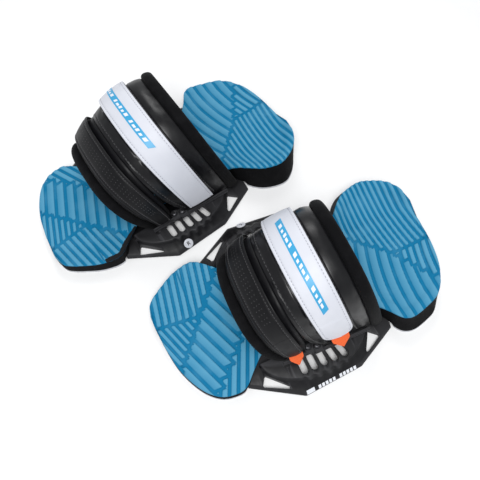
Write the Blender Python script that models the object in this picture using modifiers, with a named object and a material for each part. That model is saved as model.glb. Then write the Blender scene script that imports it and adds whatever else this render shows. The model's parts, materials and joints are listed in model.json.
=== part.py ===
"""A pair of board foot bindings: on each foot a nylon chassis, a foam footbed and two hook-and-loop straps.

A foot is built in its own axes: out (+X, away from the other foot), forward (+Y, towards the toes) and up (+Z).
The left foot is the right foot mirrored, toed in the other way and standing further back.
Sizes are in millimetres until a mesh is made, where MM turns them into metres.
"""

import math

import bmesh
import bpy
from mathutils import Vector

MM = 0.001
GAP = 0.4  # between pieces that lie against each other

# Where the two feet stand, from the point half-way between them
STANCE_HALF = 107.0
STAGGER_HALF = 32.6
TOE_IN_DEGREES = 5.57
ORIGIN_SHIFT = (0.0, 11.13)  # puts the origin under the middle of the pair

# Chassis: half its width at the four corners of one side, from toe to heel, and its heights
CHASSIS_CORNERS = ((85.0, 75.0), (33.0, 106.0), (-34.8, 102.0), (-85.0, 78.0))
PLATE_TOP = 5.0
BAND_TOP = 13.5
LIP_HEIGHT = 1.4
LIP_RUN = 4.5
BAND_CENTRE, BAND_LENGTH_HALF, BAND_DEPTH = 4.0, 62.0, 36.5
BAND_INNER = 59.0
BAND_EDGE_HEIGHT = 10.0

# Adjustment slots for the board's screws, and the lightening holes beside them
SLOT_WIDTH, SLOT_INNER, SLOT_OUTER = 7.0, 69.5, 86.5
SLOT_PITCH, SLOT_FIRST, SLOT_COUNT = 11.0, 25.0, 5
SLOT_FAN_DEGREES = 0.9
LIGHTENING_HOLES = (
    ((64.9, 70.6), (71.2, 80.4), (37.9, 97.4)),
    ((-57.8, 71.0), (-68.7, 80.8), (-43.2, 94.4)),
)
HOLE_CORNER = 1.8
BADGE_RADIUS, BADGE_THICKNESS, BADGE_FORWARD = 5.6, 1.3, 17.0

# Footbed: (forward, medial half-width, lateral half-width) of the blue deck, toe to heel
DECK_ROWS = (
    (153.0, 34.0, -22.0),
    (150.0, 46.0, 5.0),
    (144.0, 53.0, 32.0),
    (131.0, 62.0, 58.0),
    (115.0, 71.0, 73.0),
    (97.0, 76.0, 77.0),
    (86.0, 74.0, 74.0),
    (73.0, 64.0, 62.0),
    (60.0, 54.0, 51.0),
    (45.0, 46.0, 46.0),
    (0.0, 45.0, 45.0),
    (-50.0, 46.0, 46.0),
    (-66.0, 49.0, 49.5),
    (-80.0, 57.0, 60.0),
    (-92.0, 69.0, 75.0),
    (-106.0, 80.0, 80.0),
    (-126.0, 86.0, 76.0),
    (-142.0, 82.0, 69.0),
    (-154.0, 75.0, 54.0),
    (-162.0, 66.0, 34.0),
    (-167.0, 55.0, 8.0),
    (-169.5, 40.0, -18.0),
)
DECK_THICKNESS = 5.0
DECK_COLUMNS = 12
# Height of the deck's top along the middle: (forward, height)
DECK_PROFILE = ((153.0, 11.0), (100.0, 14.0), (45.0, 17.0), (0.0, 20.5), (-60.0, 24.0), (-110.0, 26.0), (-170.0, 27.0))
TOE_MEDIAL_RISE, TOE_LATERAL_RISE = 6.0, -1.0
HEEL_MEDIAL_RISE, HEEL_LATERAL_RISE = 9.0, 1.5
FOAM_FLARE_MEDIAL, FOAM_FLARE_LATERAL = 9.0, 9.0
HEEL_BACK_RISE = 3.0
FOAM_TUCK = 7.0
SKIN_THICKNESS = 1.2
CHASSIS_END = 85.0
END_CLEARANCE = 3.4

# Strap arch: across its width (0 toe edge, 1 heel edge) it follows straight base and crown lines
BASE_FORWARD, BASE_SPAN = 44.0, 120.0
CROWN_SPAN = 120.0
CROWN_HEIGHT = (58.0, 168.5, -106.5)
HALF_WIDTH = (63.0, 18.0, -14.0)
ARCH_BASE = 14.4
# How each foot's straps are set: lateral fullness, medial fullness, how far the crown's toe edge stands forward,
# and how far the lateral shoulder bulges
ARCH_SETS = {"left": (2.6, 2.5, 76.0, 0.0), "right": (3.3, 2.3, 80.0, 8.0)}
ARCH_STEPS = 24
WIDTH_STEP = 0.075

# Strap pieces across the width
TOE_HEM = (0.0, 0.068)
TOE_BOLSTER = (0.072, 0.310)
TOE_STRAP = (0.120, 0.285)
INSTEP_PAD = (0.325, 0.878)
INSTEP_STRAP = (0.452, 0.715)
INSTEP_LABEL = (0.553, 0.606)
HEEL_HEM = (0.884, 1.0)
# How far the pieces' edges move across the width at the arch's feet, where a gap opens for the screws
BOLSTER_PINCH, TOE_STRAP_PINCH, INSTEP_PAD_PINCH = (0.0, -0.092), (-0.030, -0.062), (0.080, 0.0)
# Strap pieces along the arch (0 at the lateral base, 1 at the medial base)
TOE_TAIL_TIP, TOE_TAIL_HINGE = 0.080, 0.270
TAIL_TIP, TAIL_HINGE = 0.088, 0.250
STRAP_MEDIAL_END = 0.955
BACKING_START = 0.128
LABEL_RUN = (0.300, 0.640)
PAD_THICKNESS = 5.0
BACKING_THICKNESS = 2.5
STRAP_THICKNESS = 2.1
LABEL_THICKNESS = 0.5
TAIL_JOINT_HALF = 0.0015
TAIL_ROUND = 0.040
BACKING_INSET = 0.012
TAB_THICKNESS, TAB_LIFT, TAB_TUCK = 1.0, 1.5, 0.022

# Anchors that hold the strap ends to the chassis: (strap end, strap end, ear end, screw) along the foot
FRONT_ANCHOR = (43.0, 16.7, 7.2, 11.9)
REAR_ANCHOR = (-58.0, -2.9, 6.8, 2.4)
ANCHOR_THICKNESS = 1.8
ANCHOR_TOP = 18.5
ANCHOR_CLEARANCE = 1.5
ANCHOR_CURB = 0.4
FLANGE_WIDTH = 2.9
EAR_REACH = 8.5
SCREW_INSET = 3.6
SCREW_HEAD_RADIUS, SCREW_HEAD_HEIGHT, SCREW_RADIUS, SCREW_CLEARANCE = 4.2, 2.8, 2.0, 0.4
SCREW_END = 2.5
ROUND_STEPS = 16

MATERIALS = {
    "nylon": ((0.032, 0.033, 0.036), 0.55),
    "black_foam": ((0.014, 0.014, 0.015), 0.85),
    "blue_foam": ((0.045, 0.330, 0.560), 0.75),
    "base_skin": ((0.420, 0.430, 0.450), 0.60),
    "neoprene": ((0.018, 0.018, 0.020), 0.90),
    "black_leatherette": ((0.028, 0.028, 0.031), 0.48),
    "white_leatherette": ((0.760, 0.775, 0.820), 0.50),
    "blue_print": ((0.025, 0.350, 0.600), 0.45),
    "orange_webbing": ((0.820, 0.110, 0.022), 0.70),
    "black_webbing": ((0.016, 0.016, 0.018), 0.80),
    "black_steel": ((0.060, 0.060, 0.065), 0.35),
    "badge": ((0.600, 0.610, 0.650), 0.40),
}
METALS = {"black_steel"}


def clear_scene():
    for leftover in list(bpy.data.objects):
        bpy.data.objects.remove(leftover, do_unlink=True)


def make_collection(name, parent, hidden=False):
    collection = bpy.data.collections.new(name)
    parent.children.link(collection)
    collection.hide_render = hidden
    return collection


def make_material(name, color, roughness):
    material = bpy.data.materials.new(name)
    material.use_nodes = True
    shader = material.node_tree.nodes["Principled BSDF"]
    shader.inputs["Base Color"].default_value = (*color, 1.0)
    shader.inputs["Roughness"].default_value = roughness
    shader.inputs["Metallic"].default_value = 1.0 if name in METALS else 0.0
    return material


def interpolate(rows, position, column):
    """The column's value at a position, on straight lines between rows that run from high to low."""
    if position >= rows[0][0]:
        return rows[0][column]
    for above, below in zip(rows, rows[1:]):
        if position >= below[0]:
            share = (above[0] - position) / (above[0] - below[0])
            return above[column] + share * (below[column] - above[column])
    return rows[-1][column]


def smooth_step(value):
    value = min(1.0, max(0.0, value))
    return value * value * (3.0 - 2.0 * value)


def loft_faces(rings, points_per_ring):
    """Sides, split along one diagonal, and both caps of a closed tube of rings."""
    faces = []
    for ring in range(rings - 1):
        for point in range(points_per_ring):
            here = ring * points_per_ring + point
            beside = ring * points_per_ring + (point + 1) % points_per_ring
            faces.append((here, beside, beside + points_per_ring))
            faces.append((here, beside + points_per_ring, here + points_per_ring))
    faces.append(tuple(range(points_per_ring)))
    last = (rings - 1) * points_per_ring
    faces.append(tuple(range(last, last + points_per_ring)))
    return faces


class Foot:
    """One binding: side is +1 on the right foot and -1 on the left, and mirrors every outward distance."""

    def __init__(self, name, side):
        self.name = name
        self.side = side
        self.lateral_fullness, self.medial_fullness, self.crown_forward, self.bulge = ARCH_SETS[name]
        self.arch_table = even_angles(self)
        self.empty = bpy.data.objects.new(f"{name}_foot", None)
        parts.objects.link(self.empty)
        self.empty.location = (
            (side * STANCE_HALF + ORIGIN_SHIFT[0]) * MM,
            (side * STAGGER_HALF + ORIGIN_SHIFT[1]) * MM,
            0.0,
        )
        self.empty.rotation_euler = (0.0, 0.0, side * math.radians(TOE_IN_DEGREES))
        self.chassis_cutters = make_collection(f"{name}_chassis_cutters", cutters, hidden=True)

    def place(self, point):
        """A foot point (out, forward, up) in millimetres, in the empty's metres."""
        return Vector((self.side * point[0] * MM, point[1] * MM, point[2] * MM))

    def add(self, piece, mesh, material, origin=(0.0, 0.0, 0.0)):
        thing = bpy.data.objects.new(f"{self.name}_{piece}", mesh)
        mesh.materials.append(materials[material])
        parts.objects.link(thing)
        thing.parent = self.empty
        thing.location = self.place(origin)
        return thing

    def solid(self, piece, points, faces, material, origin=(0.0, 0.0, 0.0)):
        """A closed mesh from foot points, with its faces turned outwards."""
        mesh = self.mesh_of(piece, points, faces, origin, closed=True)
        return self.add(piece, mesh, material, origin)

    def mesh_of(self, piece, points, faces, origin, closed):
        shape = bmesh.new()
        base = self.place(origin)
        corners = [shape.verts.new(self.place(point) - base) for point in points]
        for face in faces:
            turned = face if self.side > 0 else tuple(reversed(face))
            shape.faces.new([corners[index] for index in turned])
        if closed:
            bmesh.ops.recalc_face_normals(shape, faces=shape.faces)
        mesh = bpy.data.meshes.new(f"{self.name}_{piece}")
        shape.to_mesh(mesh)
        shape.free()
        mesh.shade_smooth()
        mesh.set_sharp_from_angle(angle=math.radians(35.0))
        return mesh

    def cutter(self, piece, outline, low, high):
        """A hidden prism over a closed outline of (out, forward) points."""
        count = len(outline)
        points = [(out, forward, level) for level in (low, high) for out, forward in outline]
        mesh = self.mesh_of(f"{piece}_cutter", points, loft_faces(2, count), (0, 0, 0), closed=True)
        thing = bpy.data.objects.new(f"{self.name}_{piece}_cutter", mesh)
        thing.parent = self.empty
        thing.hide_render = True
        thing.display_type = "WIRE"
        return thing

    def cut_from_chassis(self, piece, outline):
        self.chassis_cutters.objects.link(self.cutter(piece, outline, -5.0, 30.0))

    def cut_chassis(self, chassis):
        modifier = chassis.modifiers.new("openings", "BOOLEAN")
        modifier.operation = "DIFFERENCE"
        modifier.solver = "EXACT"
        modifier.operand_type = "COLLECTION"
        modifier.collection = self.chassis_cutters


def stadium(out_low, out_high, forward, lean_degrees, width):
    """A slot outline from out_low to out_high, whose outer end leans towards the heel."""
    lean = math.radians(lean_degrees)
    along = Vector((math.cos(lean), -math.sin(lean)))
    across = Vector((-along.y, along.x))
    start = Vector((out_low + width / 2, forward))
    length = (out_high - out_low - width) / math.cos(lean)
    outline = []
    for centre, turn in ((start + along * length, -90.0), (start, 90.0)):
        for step in range(6):
            angle = math.radians(turn + 36.0 * step)
            outline.append(centre + (along * math.cos(angle) + across * math.sin(angle)) * width / 2)
    return [tuple(point) for point in outline]


def circle(out, forward, radius):
    turns = [2 * math.pi * step / ROUND_STEPS for step in range(ROUND_STEPS)]
    return [(out + radius * math.cos(turn), forward + radius * math.sin(turn)) for turn in turns]


def rounded_triangle(corners):
    """A triangle whose corners are cut by short arcs of three points."""
    outline = []
    for index, corner in enumerate(corners):
        here = Vector((corner[1], corner[0]))
        for other, share in ((corners[index - 1], 1.0), (None, 0.0), (corners[(index + 1) % 3], 1.0)):
            if other is None:
                before = Vector((corners[index - 1][1], corners[index - 1][0]))
                after = Vector((corners[(index + 1) % 3][1], corners[(index + 1) % 3][0]))
                inwards = ((before - here).normalized() + (after - here).normalized()) * HOLE_CORNER * 0.3
                outline.append(tuple(here + inwards))
            else:
                towards = (Vector((other[1], other[0])) - here).normalized()
                outline.append(tuple(here + towards * HOLE_CORNER * share))
    return outline


def chassis_half_width(forward):
    rows = [(row[0], row[1]) for row in CHASSIS_CORNERS]
    return interpolate(rows, forward, 1)


def band_half_width(forward):
    """The raised band's outer edge, half an ellipse beside the foot."""
    share = (forward - BAND_CENTRE) / BAND_LENGTH_HALF
    return BAND_INNER + BAND_DEPTH * math.sqrt(max(0.0, 1.0 - share * share))


def chassis_section(forward):
    """Half a cross-section, from the outer edge at the floor up and in to the middle plate."""
    edge = chassis_half_width(forward)
    band = band_half_width(forward)
    raised = smooth_step((band - BAND_INNER) / 8.0)
    top = PLATE_TOP + (BAND_TOP - PLATE_TOP) * raised
    shoulder = PLATE_TOP + (BAND_EDGE_HEIGHT - PLATE_TOP) * raised
    lip = max(edge - LIP_RUN, band + 1.0)
    lip_height = PLATE_TOP - 0.2 if edge - LIP_RUN > band + 1.0 else PLATE_TOP + 2.0
    return (
        (edge, 0.0),
        (edge, LIP_HEIGHT),
        (lip, lip_height),
        (max(band, BAND_INNER + 3.0), shoulder),
        (max(band - 2.5, BAND_INNER + 2.0), top),
        (BAND_INNER, top),
        (BAND_INNER - 1.5, PLATE_TOP),
    )


def build_chassis(foot):
    stations = [CHASSIS_END, 76.0, 66.0, 62.0, 56.0, 48.0, 40.0, 33.0, 24.0, 14.0, 4.0, -6.0, -16.0, -26.0]
    stations += [-34.8, -42.0, -48.0, -54.0, -58.0, -66.0, -76.0, -CHASSIS_END]
    points = []
    for forward in stations:
        half = chassis_section(forward)
        ring = [(out, up) for out, up in half] + [(-out, up) for out, up in reversed(half)]
        points += [(out, forward, up) for out, up in ring]
    chassis = foot.solid("chassis", points, loft_faces(len(stations), len(points) // len(stations)), "nylon")
    for mirror in (1, -1):
        where = "lateral" if mirror > 0 else "medial"
        for index in range(SLOT_COUNT):
            forward = SLOT_FIRST - SLOT_PITCH * index
            outline = stadium(SLOT_INNER, SLOT_OUTER, forward, SLOT_FAN_DEGREES * index * index, SLOT_WIDTH)
            outline = [(mirror * out, along) for out, along in outline]
            foot.cut_from_chassis(f"{where}_slot_{index + 1}", outline)
        for index, corners in enumerate(LIGHTENING_HOLES):
            outline = [(mirror * out, along) for out, along in rounded_triangle(corners)]
            foot.cut_from_chassis(f"{where}_hole_{index + 1}", outline)
        for label, anchor in (("front", FRONT_ANCHOR), ("rear", REAR_ANCHOR)):
            outline = circle(mirror * screw_out(anchor), anchor[3], SCREW_RADIUS + SCREW_CLEARANCE)
            foot.cut_from_chassis(f"{where}_{label}_screw", outline)
    foot.cut_chassis(chassis)


def build_badge(foot):
    """The round side mark, flat on the slope of the medial flange."""
    edge = chassis_half_width(BADGE_FORWARD)
    band = band_half_width(BADGE_FORWARD)
    top = Vector((band, BAND_EDGE_HEIGHT))
    bottom = Vector((edge, LIP_HEIGHT))
    down = (bottom - top).normalized()
    normal = Vector((-down.y, down.x))
    centre = (top + bottom) / 2 + Vector((0.3, 0.0))
    points = []
    for rise in (1.3, 1.3 + BADGE_THICKNESS):
        for out, along in circle(0.0, 0.0, BADGE_RADIUS):
            spot = centre + down * out + normal * rise
            points.append((-spot.x, BADGE_FORWARD + along, spot.y))
    foot.solid("side_badge", points, loft_faces(2, ROUND_STEPS), "badge")


def deck_height(out, forward):
    """Height of the footbed's top: low at the toes, cupped at the heel."""
    reach = interpolate(DECK_ROWS, forward, 2 if out > 0 else 1)
    share = min(1.0, abs(out) / max(reach, 1.0))
    heel = smooth_step((-60.0 - forward) / 40.0)
    toe = smooth_step((forward - 50.0) / 35.0)
    if out > 0:
        rise = heel * HEEL_LATERAL_RISE + toe * TOE_LATERAL_RISE
    else:
        rise = heel * HEEL_MEDIAL_RISE + toe * TOE_MEDIAL_RISE
    back = HEEL_BACK_RISE * smooth_step((-140.0 - forward) / 26.0)
    return interpolate(DECK_PROFILE, forward, 1) + rise * smooth_step((share - 0.45) / 0.6) + back


def deck_reach(forward, column):
    """Where a column runs at this place along the foot, from -1 at the medial edge to 1 at the lateral one."""
    medial = -interpolate(DECK_ROWS, forward, 1)
    lateral = interpolate(DECK_ROWS, forward, 2)
    return medial + (lateral - medial) * (column + 1.0) / 2.0


def foam_bottom(forward):
    on_chassis = abs(forward) < CHASSIS_END + END_CLEARANCE - GAP
    return PLATE_TOP + GAP if on_chassis else SKIN_THICKNESS + GAP


def foam_flare(forward):
    """How far the foam's foot stands out past the deck, medial and lateral: less beside the chassis band."""
    heel = smooth_step((-72.0 - forward) / 24.0) * smooth_step((172.0 + forward) / 40.0)
    edge = 1.0 - FOAM_TUCK * smooth_step((82.0 - abs(forward)) / 12.0)
    return edge + FOAM_FLARE_MEDIAL * heel, edge + FOAM_FLARE_LATERAL * heel


def build_footbed(foot):
    columns = [2.0 * step / DECK_COLUMNS - 1.0 for step in range(DECK_COLUMNS + 1)]
    step_at = CHASSIS_END + END_CLEARANCE - GAP
    steps = {end * step_at + beside for end in (1, -1) for beside in (0.1, -0.1)}
    rows = sorted({row[0] for row in DECK_ROWS} | steps, reverse=True)
    points = []
    for forward in rows:
        top = [(deck_reach(forward, column), forward) for column in columns]
        points += [(out, along, deck_height(out, along) - DECK_THICKNESS) for out, along in top]
        points += [(out, along, deck_height(out, along)) for out, along in reversed(top)]
    foot.solid("footbed", points, loft_faces(len(rows), 2 * len(columns)), "blue_foam")

    points = []
    for forward in rows:
        top = [(deck_reach(forward, column), forward) for column in columns]
        medial_flare, lateral_flare = foam_flare(forward)
        floor = foam_bottom(forward)
        for out, along in top:
            under = deck_height(out, along) - DECK_THICKNESS - GAP
            points.append((out, along, max(under, floor + 0.8)))
        points.append((top[-1][0] + lateral_flare, forward, floor))
        points.append((top[0][0] - medial_flare, forward, floor))
    foot.solid("midsole", points, loft_faces(len(rows), len(columns) + 2), "black_foam")

    for name, near, far in (("toe", step_at + 0.5, 152.0), ("heel", -step_at - 0.5, -168.0)):
        along_rows = sorted({near, far} | {row for row in rows if min(near, far) < row < max(near, far)})
        points = []
        for forward in along_rows:
            medial_flare, lateral_flare = foam_flare(forward)
            medial = deck_reach(forward, -1.0) - medial_flare + 0.8
            lateral = deck_reach(forward, 1.0) + lateral_flare - 0.8
            ring = ((medial, 0.0), (lateral, 0.0), (lateral, SKIN_THICKNESS), (medial, SKIN_THICKNESS))
            points += [(out, forward, up) for out, up in ring]
        foot.solid(f"{name}_base_skin", points, loft_faces(len(along_rows), 4), "base_skin")


def quadratic(terms, value):
    return terms[0] + terms[1] * value + terms[2] * value * value


def arch_section(foot, width, angle):
    """A point of the strap arch's outer face: angle 0 is the lateral base and pi the medial one."""
    fullness = foot.lateral_fullness if angle < math.pi / 2 else foot.medial_fullness
    side = math.cos(angle)
    rise = abs(math.sin(angle)) ** (2.0 / fullness)
    base = BASE_FORWARD - BASE_SPAN * width
    crown = foot.crown_forward - CROWN_SPAN * width
    out = quadratic(HALF_WIDTH, width) * math.copysign(abs(side) ** (2.0 / fullness), side)
    out += foot.bulge * max(0.0, math.sin(2.0 * angle))
    up = ARCH_BASE + (quadratic(CROWN_HEIGHT, width) - ARCH_BASE) * rise
    return Vector((out, base + (crown - base) * rise, up))


def even_angles(foot):
    """Angles along the middle of the arch, and the share of its length that each one reaches."""
    fine = [math.pi * step / 720 for step in range(721)]
    lengths = [0.0]
    for before, after in zip(fine, fine[1:]):
        lengths.append(lengths[-1] + (arch_section(foot, 0.5, after) - arch_section(foot, 0.5, before)).length)
    return fine, [length / lengths[-1] for length in lengths]


def arch_angle(foot, run):
    """The angle at a share of the way along the arch."""
    fine, shares = foot.arch_table
    run = min(1.0, max(0.0, run))
    for index in range(1, len(shares)):
        if shares[index] >= run:
            part = (run - shares[index - 1]) / (shares[index] - shares[index - 1])
            return fine[index - 1] + part * (fine[index] - fine[index - 1])
    return math.pi


def arch_point(foot, width, run, lift):
    """A point on the arch, lifted off its outer face along the normal."""
    step = 0.004
    run = min(1.0 - step, max(step, run)) if lift else run
    angle = arch_angle(foot, run)
    here = arch_section(foot, width, angle)
    if not lift:
        return here
    ahead, behind = arch_angle(foot, run + step), arch_angle(foot, run - step)
    along = arch_section(foot, width, ahead) - arch_section(foot, width, behind)
    across = arch_section(foot, width - step, angle) - arch_section(foot, width + step, angle)
    normal = along.cross(across).normalized()
    if normal.dot(here - Vector((0.0, here.y, ARCH_BASE))) < 0.0:
        normal = -normal
    return here + normal * lift


def even_steps(low, high, step):
    count = max(1, math.ceil((high - low) / step))
    return [low + (high - low) * index / count for index in range(count + 1)]


def pinched(widths, pinch, run):
    """A piece's two edges across the width, moved by its pinch near the arch's feet."""
    share = (1.0 - math.sin(math.pi * run)) ** 3
    return widths[0] + pinch[0] * share, widths[1] + pinch[1] * share


def arch_sheet(foot, piece, widths, runs, lift, thickness, material, pinch=(0, 0), origin=(0, 0, 0), round_tip=0.0):
    """A sheet over part of the arch, thickened outwards, with a round end at its lateral tip if asked."""
    shares = even_steps(0.0, 1.0, WIDTH_STEP / (widths[1] - widths[0]))
    steps = [step / ARCH_STEPS for step in range(1, ARCH_STEPS)]
    along = [runs[0]] + [step for step in steps if runs[0] + round_tip < step < runs[1]] + [runs[1]]
    points = []
    for index, run in enumerate(along):
        near, far = pinched(widths, pinch, run)
        for share in shares:
            side = 2.0 * share - 1.0
            tuck = round_tip * (1.0 - math.sqrt(1.0 - 0.96 * side * side))
            place = run + tuck if index == 0 else run
            points.append(arch_point(foot, near + share * (far - near), place, lift))
    faces = []
    count = len(shares)
    for row in range(len(along) - 1):
        for column in range(count - 1):
            here = row * count + column
            faces.append((here, here + count, here + count + 1, here + 1))
    mesh = foot.mesh_of(piece, points, faces, origin, closed=False)
    thing = foot.add(piece, mesh, material, origin)
    thicken = thing.modifiers.new("thickness", "SOLIDIFY")
    thicken.thickness = thickness * MM
    thicken.offset = 1.0
    thicken.use_even_offset = True
    return thing


def arch_roll(foot, piece, widths, low, high, material):
    """A rolled hem: an oval bar that follows the arch along one edge."""
    sides = 8
    middle, half = (widths[0] + widths[1]) / 2, (widths[1] - widths[0]) / 2
    points = []
    for step in range(ARCH_STEPS + 1):
        for side in range(sides):
            turn = 2 * math.pi * (side + 0.5) / sides
            width = middle + half * math.cos(turn) / math.cos(math.pi / sides)
            lift = (low + high) / 2 + (high - low) / 2 * math.sin(turn)
            points.append(arch_point(foot, width, step / ARCH_STEPS, lift))
    foot.solid(piece, points, loft_faces(ARCH_STEPS + 1, sides), material)


def build_pull_tab(foot, piece, widths, tip, origin):
    """A pointed webbing tab from under the tail's tip, bent outwards over the chassis."""
    middle, half = (widths[0] + widths[1]) / 2, (widths[1] - widths[0]) / 2 * BASE_SPAN
    tucked = arch_point(foot, middle, tip + TAB_TUCK, TAB_LIFT)
    bend = arch_point(foot, middle, tip - 0.006, TAB_LIFT)
    points = []
    for centre, share in (
        (tucked, 0.62),
        (bend, 0.62),
        (bend + Vector((4.5, 0.0, -3.6)), 0.60),
        (bend + Vector((9.5, 0.0, -6.0)), 0.10),
    ):
        near, far = centre + Vector((0.0, half * share, 0.0)), centre - Vector((0.0, half * share, 0.0))
        thickness = Vector((0.8, 0.0, 0.6)) * TAB_THICKNESS
        points += [tuple(corner) for corner in (near, near + thickness, far + thickness, far)]
    foot.solid(piece, points, loft_faces(4, 4), "orange_webbing", origin)


def build_straps(foot):
    arch_roll(foot, "toe_hem", TOE_HEM, -6.0, 2.6, "neoprene")
    arch_roll(foot, "heel_hem", HEEL_HEM, -6.5, 4.0, "neoprene")
    for name, widths, pinch in (
        ("toe_bolster", TOE_BOLSTER, BOLSTER_PINCH),
        ("instep_pad", INSTEP_PAD, INSTEP_PAD_PINCH),
    ):
        arch_sheet(foot, name, widths, (0.0, 1.0), -PAD_THICKNESS, PAD_THICKNESS, "black_leatherette", pinch)
    strap_lift = GAP + BACKING_THICKNESS + GAP
    for name, widths, pinch, tip, hinge, material in (
        ("toe", TOE_STRAP, TOE_STRAP_PINCH, TOE_TAIL_TIP, TOE_TAIL_HINGE, "black_leatherette"),
        ("instep", INSTEP_STRAP, (0.0, 0.0), TAIL_TIP, TAIL_HINGE, "white_leatherette"),
    ):
        inset = (widths[0] + BACKING_INSET, widths[1] - BACKING_INSET)
        runs = (BACKING_START, STRAP_MEDIAL_END)
        arch_sheet(foot, f"{name}_strap_backing", inset, runs, GAP, BACKING_THICKNESS, "black_webbing", pinch)
        runs = (hinge + TAIL_JOINT_HALF, STRAP_MEDIAL_END)
        arch_sheet(foot, f"{name}_strap", widths, runs, strap_lift, STRAP_THICKNESS, material, pinch)
        near, far = pinched(widths, pinch, hinge)
        surface = strap_lift + STRAP_THICKNESS
        origin = tuple((arch_point(foot, near, hinge, surface) + arch_point(foot, far, hinge, surface)) / 2)
        runs = (tip, hinge - TAIL_JOINT_HALF)
        arch_sheet(
            foot, f"{name}_strap_tail", widths, runs, strap_lift, STRAP_THICKNESS, material, pinch, origin, TAIL_ROUND
        )
        build_pull_tab(foot, f"{name}_pull_tab", pinched(widths, pinch, tip), tip, origin)
    label_lift = strap_lift + STRAP_THICKNESS + GAP
    arch_sheet(foot, "instep_label", INSTEP_LABEL, LABEL_RUN, label_lift, LABEL_THICKNESS, "blue_print")


def anchor_wall(anchor):
    """Outward distance that clears the strap ends all along an anchor."""
    ends = (anchor[0], (anchor[0] + anchor[1]) / 2, anchor[1])
    return max(quadratic(HALF_WIDTH, (BASE_FORWARD - end) / BASE_SPAN) for end in ends)


def screw_out(anchor):
    return anchor_wall(anchor) - SCREW_INSET


def build_anchor(foot, label, anchor, mirror):
    """A bent plate: an upright against the strap's end, a flange, and an ear screwed to the chassis."""
    where = "lateral" if mirror > 0 else "medial"
    inner = anchor_wall(anchor) + ANCHOR_CLEARANCE
    outer = inner + ANCHOR_THICKNESS
    edge = outer + FLANGE_WIDTH - ANCHOR_THICKNESS
    low = BAND_TOP + GAP
    flange = low + ANCHOR_THICKNESS
    curb = flange + ANCHOR_CURB
    points = []
    step = math.copysign(0.3, anchor[2] - anchor[1])
    for along, reach, top in (
        (anchor[0], inner, ANCHOR_TOP),
        (anchor[1], inner, ANCHOR_TOP),
        (anchor[1] + step, inner - EAR_REACH, curb),
        (anchor[2], inner - EAR_REACH, curb),
    ):
        profile = ((reach, low), (edge, low), (edge, flange), (outer, flange), (outer, top), (reach, top))
        points += [(mirror * out, along, up) for out, up in profile]
    piece = f"{label}_anchor_{where}"
    plate = foot.solid(piece, points, loft_faces(4, 6), "black_webbing")
    outline = circle(mirror * screw_out(anchor), anchor[3], SCREW_RADIUS + SCREW_CLEARANCE)
    hole = foot.cutter(piece, outline, 0.0, 30.0)
    cutters.objects.link(hole)
    modifier = plate.modifiers.new("screw_hole", "BOOLEAN")
    modifier.operation = "DIFFERENCE"
    modifier.solver = "EXACT"
    modifier.object = hole
    build_screw(foot, f"{label}_screw_{where}", mirror * screw_out(anchor), anchor[3], curb + GAP)


def build_screw(foot, piece, out, forward, seat):
    """A dome-head screw, turned from half its outline."""
    profile = [(0.0, SCREW_HEAD_HEIGHT)]
    for step in range(1, 5):
        turn = math.radians(90.0 - 20.0 * step)
        profile.append((SCREW_HEAD_RADIUS * math.cos(turn), SCREW_HEAD_HEIGHT * math.sin(turn)))
    profile += [(SCREW_HEAD_RADIUS, 0.0), (SCREW_RADIUS, 0.0)]
    profile += [(SCREW_RADIUS, SCREW_END - seat), (0.0, SCREW_END - seat)]
    mesh = bpy.data.meshes.new(f"{foot.name}_{piece}")
    mesh.from_pydata(
        [(radius * MM, 0.0, up * MM) for radius, up in profile],
        [(step, step + 1) for step in range(len(profile) - 1)],
        [],
    )
    thing = foot.add(piece, mesh, "black_steel", (out, forward, seat))
    turn = thing.modifiers.new("turned", "SCREW")
    turn.axis = "Z"
    turn.steps = ROUND_STEPS
    turn.render_steps = ROUND_STEPS
    turn.use_merge_vertices = True
    turn.merge_threshold = 0.00001


def build_foot(foot):
    build_chassis(foot)
    build_badge(foot)
    build_footbed(foot)
    build_straps(foot)
    for mirror in (1, -1):
        for label, anchor in (("front", FRONT_ANCHOR), ("rear", REAR_ANCHOR)):
            build_anchor(foot, label, anchor, mirror)


clear_scene()
parts = make_collection("foot_binding_pair", bpy.context.scene.collection)
cutters = make_collection("cutters", bpy.context.scene.collection, hidden=True)
materials = {name: make_material(name, *look) for name, look in MATERIALS.items()}
for foot_name, foot_side in (("left", -1), ("right", 1)):
    build_foot(Foot(foot_name, foot_side))
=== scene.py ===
import json
import math
from collections import namedtuple

import bmesh
import bpy
import numpy as np
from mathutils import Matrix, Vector


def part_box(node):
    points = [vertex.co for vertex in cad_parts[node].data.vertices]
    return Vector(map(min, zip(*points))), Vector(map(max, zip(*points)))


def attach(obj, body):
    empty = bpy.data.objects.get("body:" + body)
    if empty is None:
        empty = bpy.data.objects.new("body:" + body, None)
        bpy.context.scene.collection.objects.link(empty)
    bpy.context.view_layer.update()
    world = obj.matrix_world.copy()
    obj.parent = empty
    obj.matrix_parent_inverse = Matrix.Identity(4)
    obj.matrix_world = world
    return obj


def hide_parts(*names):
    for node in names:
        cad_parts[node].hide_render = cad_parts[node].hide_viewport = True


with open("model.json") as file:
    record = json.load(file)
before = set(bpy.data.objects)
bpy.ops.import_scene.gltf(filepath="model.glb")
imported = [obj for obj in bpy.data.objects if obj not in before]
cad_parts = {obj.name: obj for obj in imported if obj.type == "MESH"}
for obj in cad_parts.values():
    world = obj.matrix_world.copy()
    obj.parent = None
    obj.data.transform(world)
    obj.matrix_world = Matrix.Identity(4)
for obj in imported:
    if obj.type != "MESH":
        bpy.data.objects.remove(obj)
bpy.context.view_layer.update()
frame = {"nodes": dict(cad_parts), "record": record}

# A pair of board foot bindings. Each foot is built in its own axes, in millimetres: out (away from the other foot),
# forward (towards the toes) and up. Foot.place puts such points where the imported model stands.
MM = 0.001
GAP = 0.4

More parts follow.
